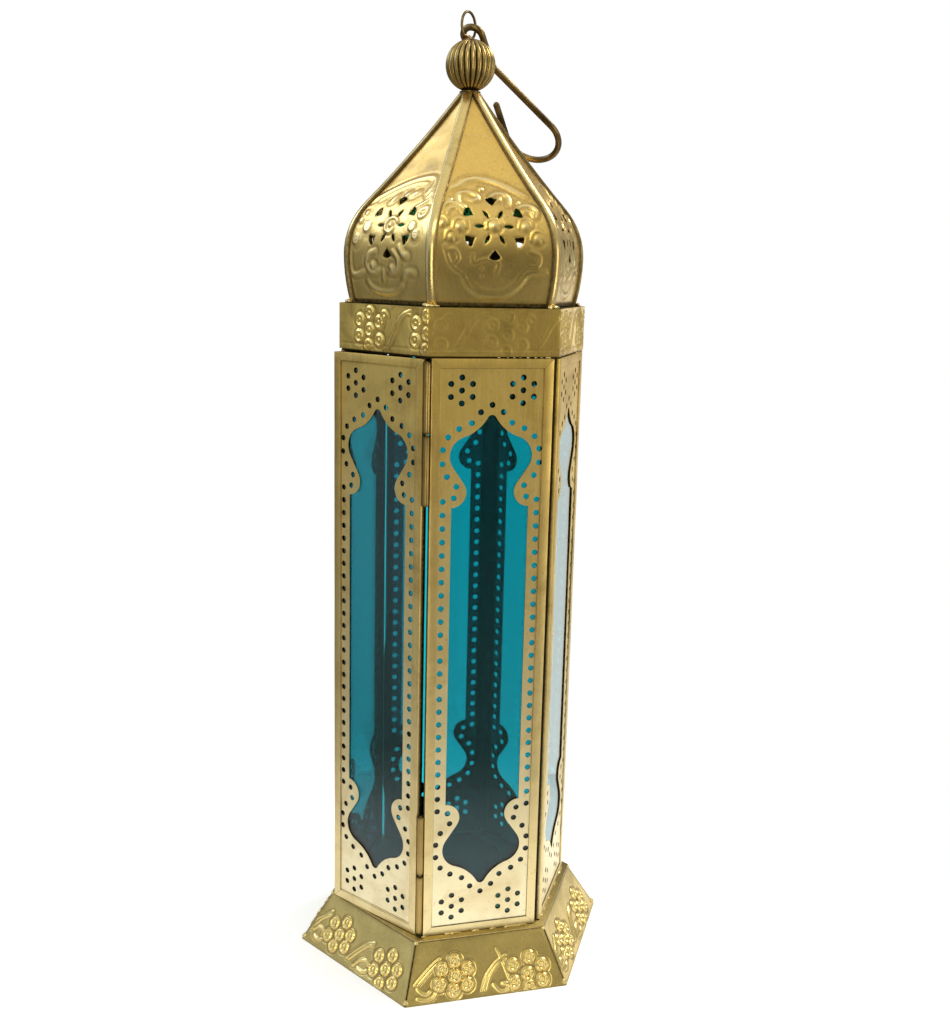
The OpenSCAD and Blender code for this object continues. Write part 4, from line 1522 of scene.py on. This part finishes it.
@dataclass
class Finial:
    """The dark collar, the fluted ball, the wire loop and the carrying hook."""

    ball_z: float = 388.484
    ball_r: float = 10.4
    flutes: int = 24
    depth: float = 1.1
    passage: float = 1.85
    thick: float = 0.6
    wire_ease: float = 0.22

    def build_ball(self) -> None:
        """Spins a ball, presses its round flutes and opens it for the wire."""
        deselect()
        bpy.ops.mesh.primitive_uv_sphere_add(segments=self.flutes * 10, ring_count=64, radius=1.0)
        piece = bpy.context.active_object
        piece.name = "fluted_ball"
        unit = points_of(piece) * MM
        part = np.arctan2(unit[:, 1], unit[:, 0]) / (2 * math.pi) * self.flutes % 1
        lobe = np.sqrt(np.maximum(1 - (2 * part - 1) ** 2, 0))
        # the flutes run out towards the poles, where the ball is open
        out = np.sin(np.arccos(np.clip(unit[:, 2], -1, 1)))
        fade = np.minimum(1, 2.2 * np.maximum(out - self.passage / self.ball_r, 0))
        r = self.ball_r - self.depth * fade * (1 - lobe)
        set_points(piece, unit * r[:, None] + (0, 0, self.ball_z))
        # patina and painted shade in the flutes' valleys and round the poles, and a painted
        # highlight along the crests
        mark(piece, fade * np.clip(1 - lobe * 1.6, 0, 1) + 0.6 * np.clip(1 - out * 2.6, 0, 1),
             np.clip((lobe - 0.86) * 7, 0, 1) * 0.8)
        with opened(piece) as mesh:
            gone = [face for face in mesh.faces
                    if math.hypot(*face.calc_center_median().xy) < self.passage * MM]
            bmesh.ops.delete(mesh, geom=gone, context="FACES")
        thicken(piece, self.thick)
        shade(50)
        finish_piece(piece, Finish.BALL, "lantern", "finial_ball")

    def build(self) -> None:
        """Makes the ball and smooths the wire pieces and the collar."""
        self.build_ball()
        for node, name, body in (("neck_collar", "neck_washer", "lantern"),
                                 ("loop", "wire_loop", "lantern"),
                                 ("hook", "wire_hook", "carrying_hook")):
            smoothed(node, name, Finish.WIRE, body, self.wire_ease, segments=3, angle=50)


@dataclass
class InnerParts:
    """What shows only through the glass and the piercings: cup, tie ring and dome plate."""

    ease: float = 0.15

    def build(self) -> None:
        """Eases the edges of each and gives it the very dark finish, painted shade inside the
        lantern.
        """
        for node, name in (("candle_cup", "pressed_candle_cup"), ("tie_ring", "soldered_tie_ring"),
                           ("dome_plate", "vented_dome_plate")):
            smoothed(node, name, Finish.HIDDEN, "lantern", self.ease)


@dataclass(frozen=True)
class Spill:
    """Where drops of solder lie along a ledge: how many, how large, how far out and up."""

    reach: tuple[float, float]
    count: int
    sizes: tuple[float, float]
    shape: tuple[float, float, float]
    inwards: float
    z: float


@dataclass
class SolderWork:
    """Lumps and runs of solder that the joints were left with."""

    rib_corner: float = 51.4
    seam_r: float = 0.75
    notch_r: float = 52.2
    notch_z: tuple[float, float] = (23.4, 270.8)
    knobs: float = 0.28
    notch_shade: float = 1.6
    seed: int = 7
    spills: tuple[Spill, ...] = (
        Spill((-25, 25), 12, (0.5, 1.2), (2.2, 0.7, 0.5), -0.15, 22.7),
        Spill((2, 26), 10, (0.25, 0.5), (1.6, 0.8, 0.7), 0.1, 271.6))

    def lump(self, place: Sequence[float], size: Sequence[float], turn: float,
             seed: float) -> Piece:
        """Models one lump.

        Args:
            place: its middle in millimetres.
            size: its half lengths along, across and up, in millimetres.
            turn: its turn about Z, in radians.
            seed: its own noise.

        Returns:
            The lump, its place in its mesh.
        """
        deselect()
        bpy.ops.mesh.primitive_ico_sphere_add(subdivisions=3, radius=1.0)
        piece = bpy.context.active_object
        unit = points_of(piece) * MM
        swollen = unit * (1 + self.knobs * wander(unit, 0.8, seed))[:, None]
        set_points(piece, turned(swollen * size, turn) + place)
        bpy.ops.object.shade_smooth()
        return piece

    def at_corners(self) -> None:
        """Puts lumps at the feet of the ribs and at the foot's corners."""
        feet, corners = [], []
        low_r = (FOOT_TOP + FOOT_SPREAD) / math.cos(HALF_SIDE) - 1.6
        top_r = FOOT_TOP / math.cos(HALF_SIDE) - 0.9
        for k, turn in enumerate(CORNERS):
            out, along = ways_at(turn)
            for n, shift in enumerate((-1.9, 0.2, 2.1)):
                place = out * (self.rib_corner - 0.5 * abs(shift)) + along * shift
                feet.append(self.lump(place + (0, 0, DOME_FOOT + 0.5), (1.5, 0.9, 1.0 - 0.2 * n),
                                      turn + math.pi / 2, 5.0 * k + n))
            corners.append(self.lump(out * low_r + (0, 0, 1.3), (1.3, 1.3, 1.2), turn, 31.0 + k))
            corners.append(self.lump(out * top_r + (0, 0, 21.3), (1.5, 1.0, 0.8), turn, 47.0 + k))
        finish_piece(join(feet, "solder_at_rib_feet"), Finish.SOLDER, "lantern")
        finish_piece(join(corners, "solder_at_foot_corners"), Finish.SOLDER, "lantern")

    def along_ledges(self) -> None:
        """Spills drops along the ledges below and above the five fixed panels."""
        rng = np.random.default_rng(self.seed)
        drops = []
        for side in Side:
            if side is Side.DOOR:
                continue
            for spill in self.spills:
                for x in rng.uniform(*spill.reach, spill.count):
                    size = rng.uniform(*spill.sizes)
                    place = np.array([[x, spill.inwards - PANEL_FLATS, spill.z]])
                    drops.append(self.lump(turned(place, side.turn)[0],
                                           size * np.array(spill.shape), side.turn,
                                           rng.uniform(0, 90)))
        finish_piece(join(drops, "solder_runs"), Finish.SOLDER, "lantern")

    def in_notches(self) -> None:
        """Runs solder down the notches of three of the corners between panels, painted very dark
        as the shade in them.
        """
        rods = []
        low, high = self.notch_z
        half = (high - low) / 2
        for degrees in (-60, 0, 60):
            way, _ = ways_at(math.radians(degrees))
            bpy.ops.mesh.primitive_cylinder_add(vertices=16, radius=self.seam_r * MM,
                                                depth=(high - low) * MM)
            rod = bpy.context.active_object
            slice_at(rod, UP, *np.arange(2 - half, half - 1, 2.0))
            points = points_of(rod) + self.notch_r * way + (0, 0, (low + high) / 2)
            sway = 0.1 * wander(points, 5.0, degrees) - 0.1
            set_points(rod, points + np.outer(sway, way))
            # painted shade: the rod is made very dark, as the notch is
            mark(rod, self.notch_shade)
            rods.append(rod)
        piece = join(rods, "solder_in_corners")
        shade(40)
        finish_piece(piece, Finish.SOLDER, "lantern")

    def build(self) -> None:
        """Does all of the soldering."""
        self.at_corners()
        self.along_ledges()
        self.in_notches()


@dataclass(frozen=True)
class Softbox:
    """A soft rectangular light that glass shows no picture of.

    Its place and size are in metres, its power in watts, and it faces the lantern's axis
    at a height.
    """

    name: str
    place: tuple[float, float, float]
    size: tuple[float, float]
    watts: float
    colour: str
    aim_z: float = 0.2

    def hang(self) -> None:
        """Adds the light to the scene."""
        data = bpy.data.lights.new(self.name, "AREA")
        data.shape = "RECTANGLE"
        data.size, data.size_y = self.size
        data.energy = self.watts
        data.color = linear(self.colour)[:3]
        lamp = bpy.data.objects.new(self.name, data)
        lamp.visible_transmission = False
        lamp.location = self.place
        aim = Vector((0, 0, self.aim_z)) - Vector(self.place)
        lamp.rotation_euler = aim.to_track_quat("-Z", "Y").to_euler()
        bpy.context.scene.collection.objects.link(lamp)


@dataclass
class Studio:
    """A pale floor, soft lights and the camera."""

    azimuth: float = math.radians(-15.095)
    elevation: float = math.radians(11.339)
    roll: float = math.radians(1.347)
    distance: float = 524.288
    aside: float = 6.135
    aim_z: float = 201.856
    focal_px: float = 1176.708
    image_h: int = 1014
    sensor: float = 36.0
    paper: MattPaper = MattPaper("matt_white_paper")
    lights: tuple[Softbox, ...] = (
        Softbox("window_right", (1.2, 0.3, 1.45), (0.5, 0.5), 12.0, "FFFDF8"),
        Softbox("strip_right", (1.15, -1.0, 0.25), (0.5, 1.0), 5.0, "FAF9E6", 0.25),
        Softbox("strip_left", (-0.55, -1.4, 0.25), (0.5, 1.0), 5.0, "F9F7DC", 0.25),
        Softbox("key_above", (-0.35, -1.3, 1.5), (0.9, 0.6), 6.0, "F9F7DC"),
        Softbox("fill_left", (-1.2, 0.8, 1.3), (0.8, 0.8), 8.0, "C0D4FF"),
        Softbox("strip_back", (0.85, 0.86, -0.08), (0.3, 0.7), 0.7, "FFFDF8", 0.15))

    def build_camera(self) -> None:
        """Puts the camera at the photograph's viewing angle."""
        back = Vector((math.sin(self.azimuth) * math.cos(self.elevation),
                       -math.cos(self.azimuth) * math.cos(self.elevation),
                       math.sin(self.elevation)))
        right = (-back).cross(UP).normalized()
        up = right.cross(-back)
        c, s = math.cos(self.roll), math.sin(self.roll)
        right, up = c * right + s * up, c * up - s * right
        place = (back * self.distance + UP * self.aim_z + right * self.aside) * MM
        data = bpy.data.cameras.new("camera")
        data.sensor_width = self.sensor
        data.sensor_fit = "AUTO"
        data.lens = self.focal_px / self.image_h * self.sensor
        data.clip_start = 0.01
        data.clip_end = 20.0
        camera = bpy.data.objects.new("camera", data)
        turn = Matrix((right, up, back)).transposed().to_4x4()
        camera.matrix_world = Matrix.Translation(place) @ turn
        bpy.context.scene.collection.objects.link(camera)
        bpy.context.scene.camera = camera

    def build_floor(self) -> None:
        """Lays the paper, wide enough to run out of every view."""
        deselect()
        bpy.ops.mesh.primitive_circle_add(vertices=96, radius=self.paper.radius,
                                          fill_type="NGON")
        floor = bpy.context.active_object
        floor.name = "pale_floor"
        floor.data.materials.append(self.paper.build())

    def build_world(self) -> None:
        """Makes a white surround, and a darker one with two walls for what metal mirrors."""
        world = bpy.data.worlds.new("studio")
        world.use_nodes = True
        wires = Wiring(world.node_tree)
        wires.tree.nodes.clear()
        place = wires.add("TexCoord").outputs["Generated"]
        way = wires.add("SeparateXYZ", {0: place}).outputs
        room = wires.ramp(wires.remap(way["Z"], -1.0, 1.0), (0.0, "A3A498"), (0.3, "868578"),
                          (0.4, "48463C"), (0.55, "525144"), (0.75, "B6B6A2"), (1.0, "F8FCEE"))
        # a grey wall to the right, and a sky-lit one to the left: pale above the level,
        # and half as pale down its far edge
        right = wires.remap(way["X"], 0.5, 0.9)
        above = wires.maths("MULTIPLY", wires.remap(way["X"], -0.3, -0.7),
                            wires.remap(way["Z"], 0.05, 0.35))
        left = wires.maths("MAXIMUM", above, wires.remap(way["X"], -0.9, -0.96, to_high=0.5))
        walls = wires.mix(left, wires.mix(right, room, "C2C6C0"), "E2F0FA")
        white, mirrored = (wires.add("Background", {"Color": tone}).outputs[0]
                           for tone in ("FFFFFF", walls))
        # only a ray that bounced off metal sees the walls: glass shows the white behind it
        path = wires.add("LightPath").outputs
        bounced = wires.maths("SUBTRACT", path["Is Glossy Ray"], path["Is Transmission Ray"],
                              clamp=True)
        seen = wires.add("MixShader", {0: bounced, 1: white, 2: mirrored}).outputs[0]
        wires.add("OutputWorld", {"Surface": seen})
        bpy.context.scene.world = world

    def build(self) -> None:
        """Sets up camera, floor, surround and lights."""
        self.build_camera()
        self.build_floor()
        self.build_world()
        bpy.context.scene.view_settings.view_transform = "Standard"
        for light in self.lights:
            light.hang()


def main() -> None:
    """Builds the studio and the lantern, sub-assembly by sub-assembly."""
    logging.basicConfig(level=logging.INFO, format="%(message)s")
    for assembly in (Studio(), DomeGores(), DomeRibs(), TopBand(), FlaredFoot(), SidePanels(),
                     DoorHinges(), Finial(), InnerParts(), SolderWork()):
        LOG.info("building %s", type(assembly).__name__)
        assembly.build()


if __name__ == "__main__":
    main()
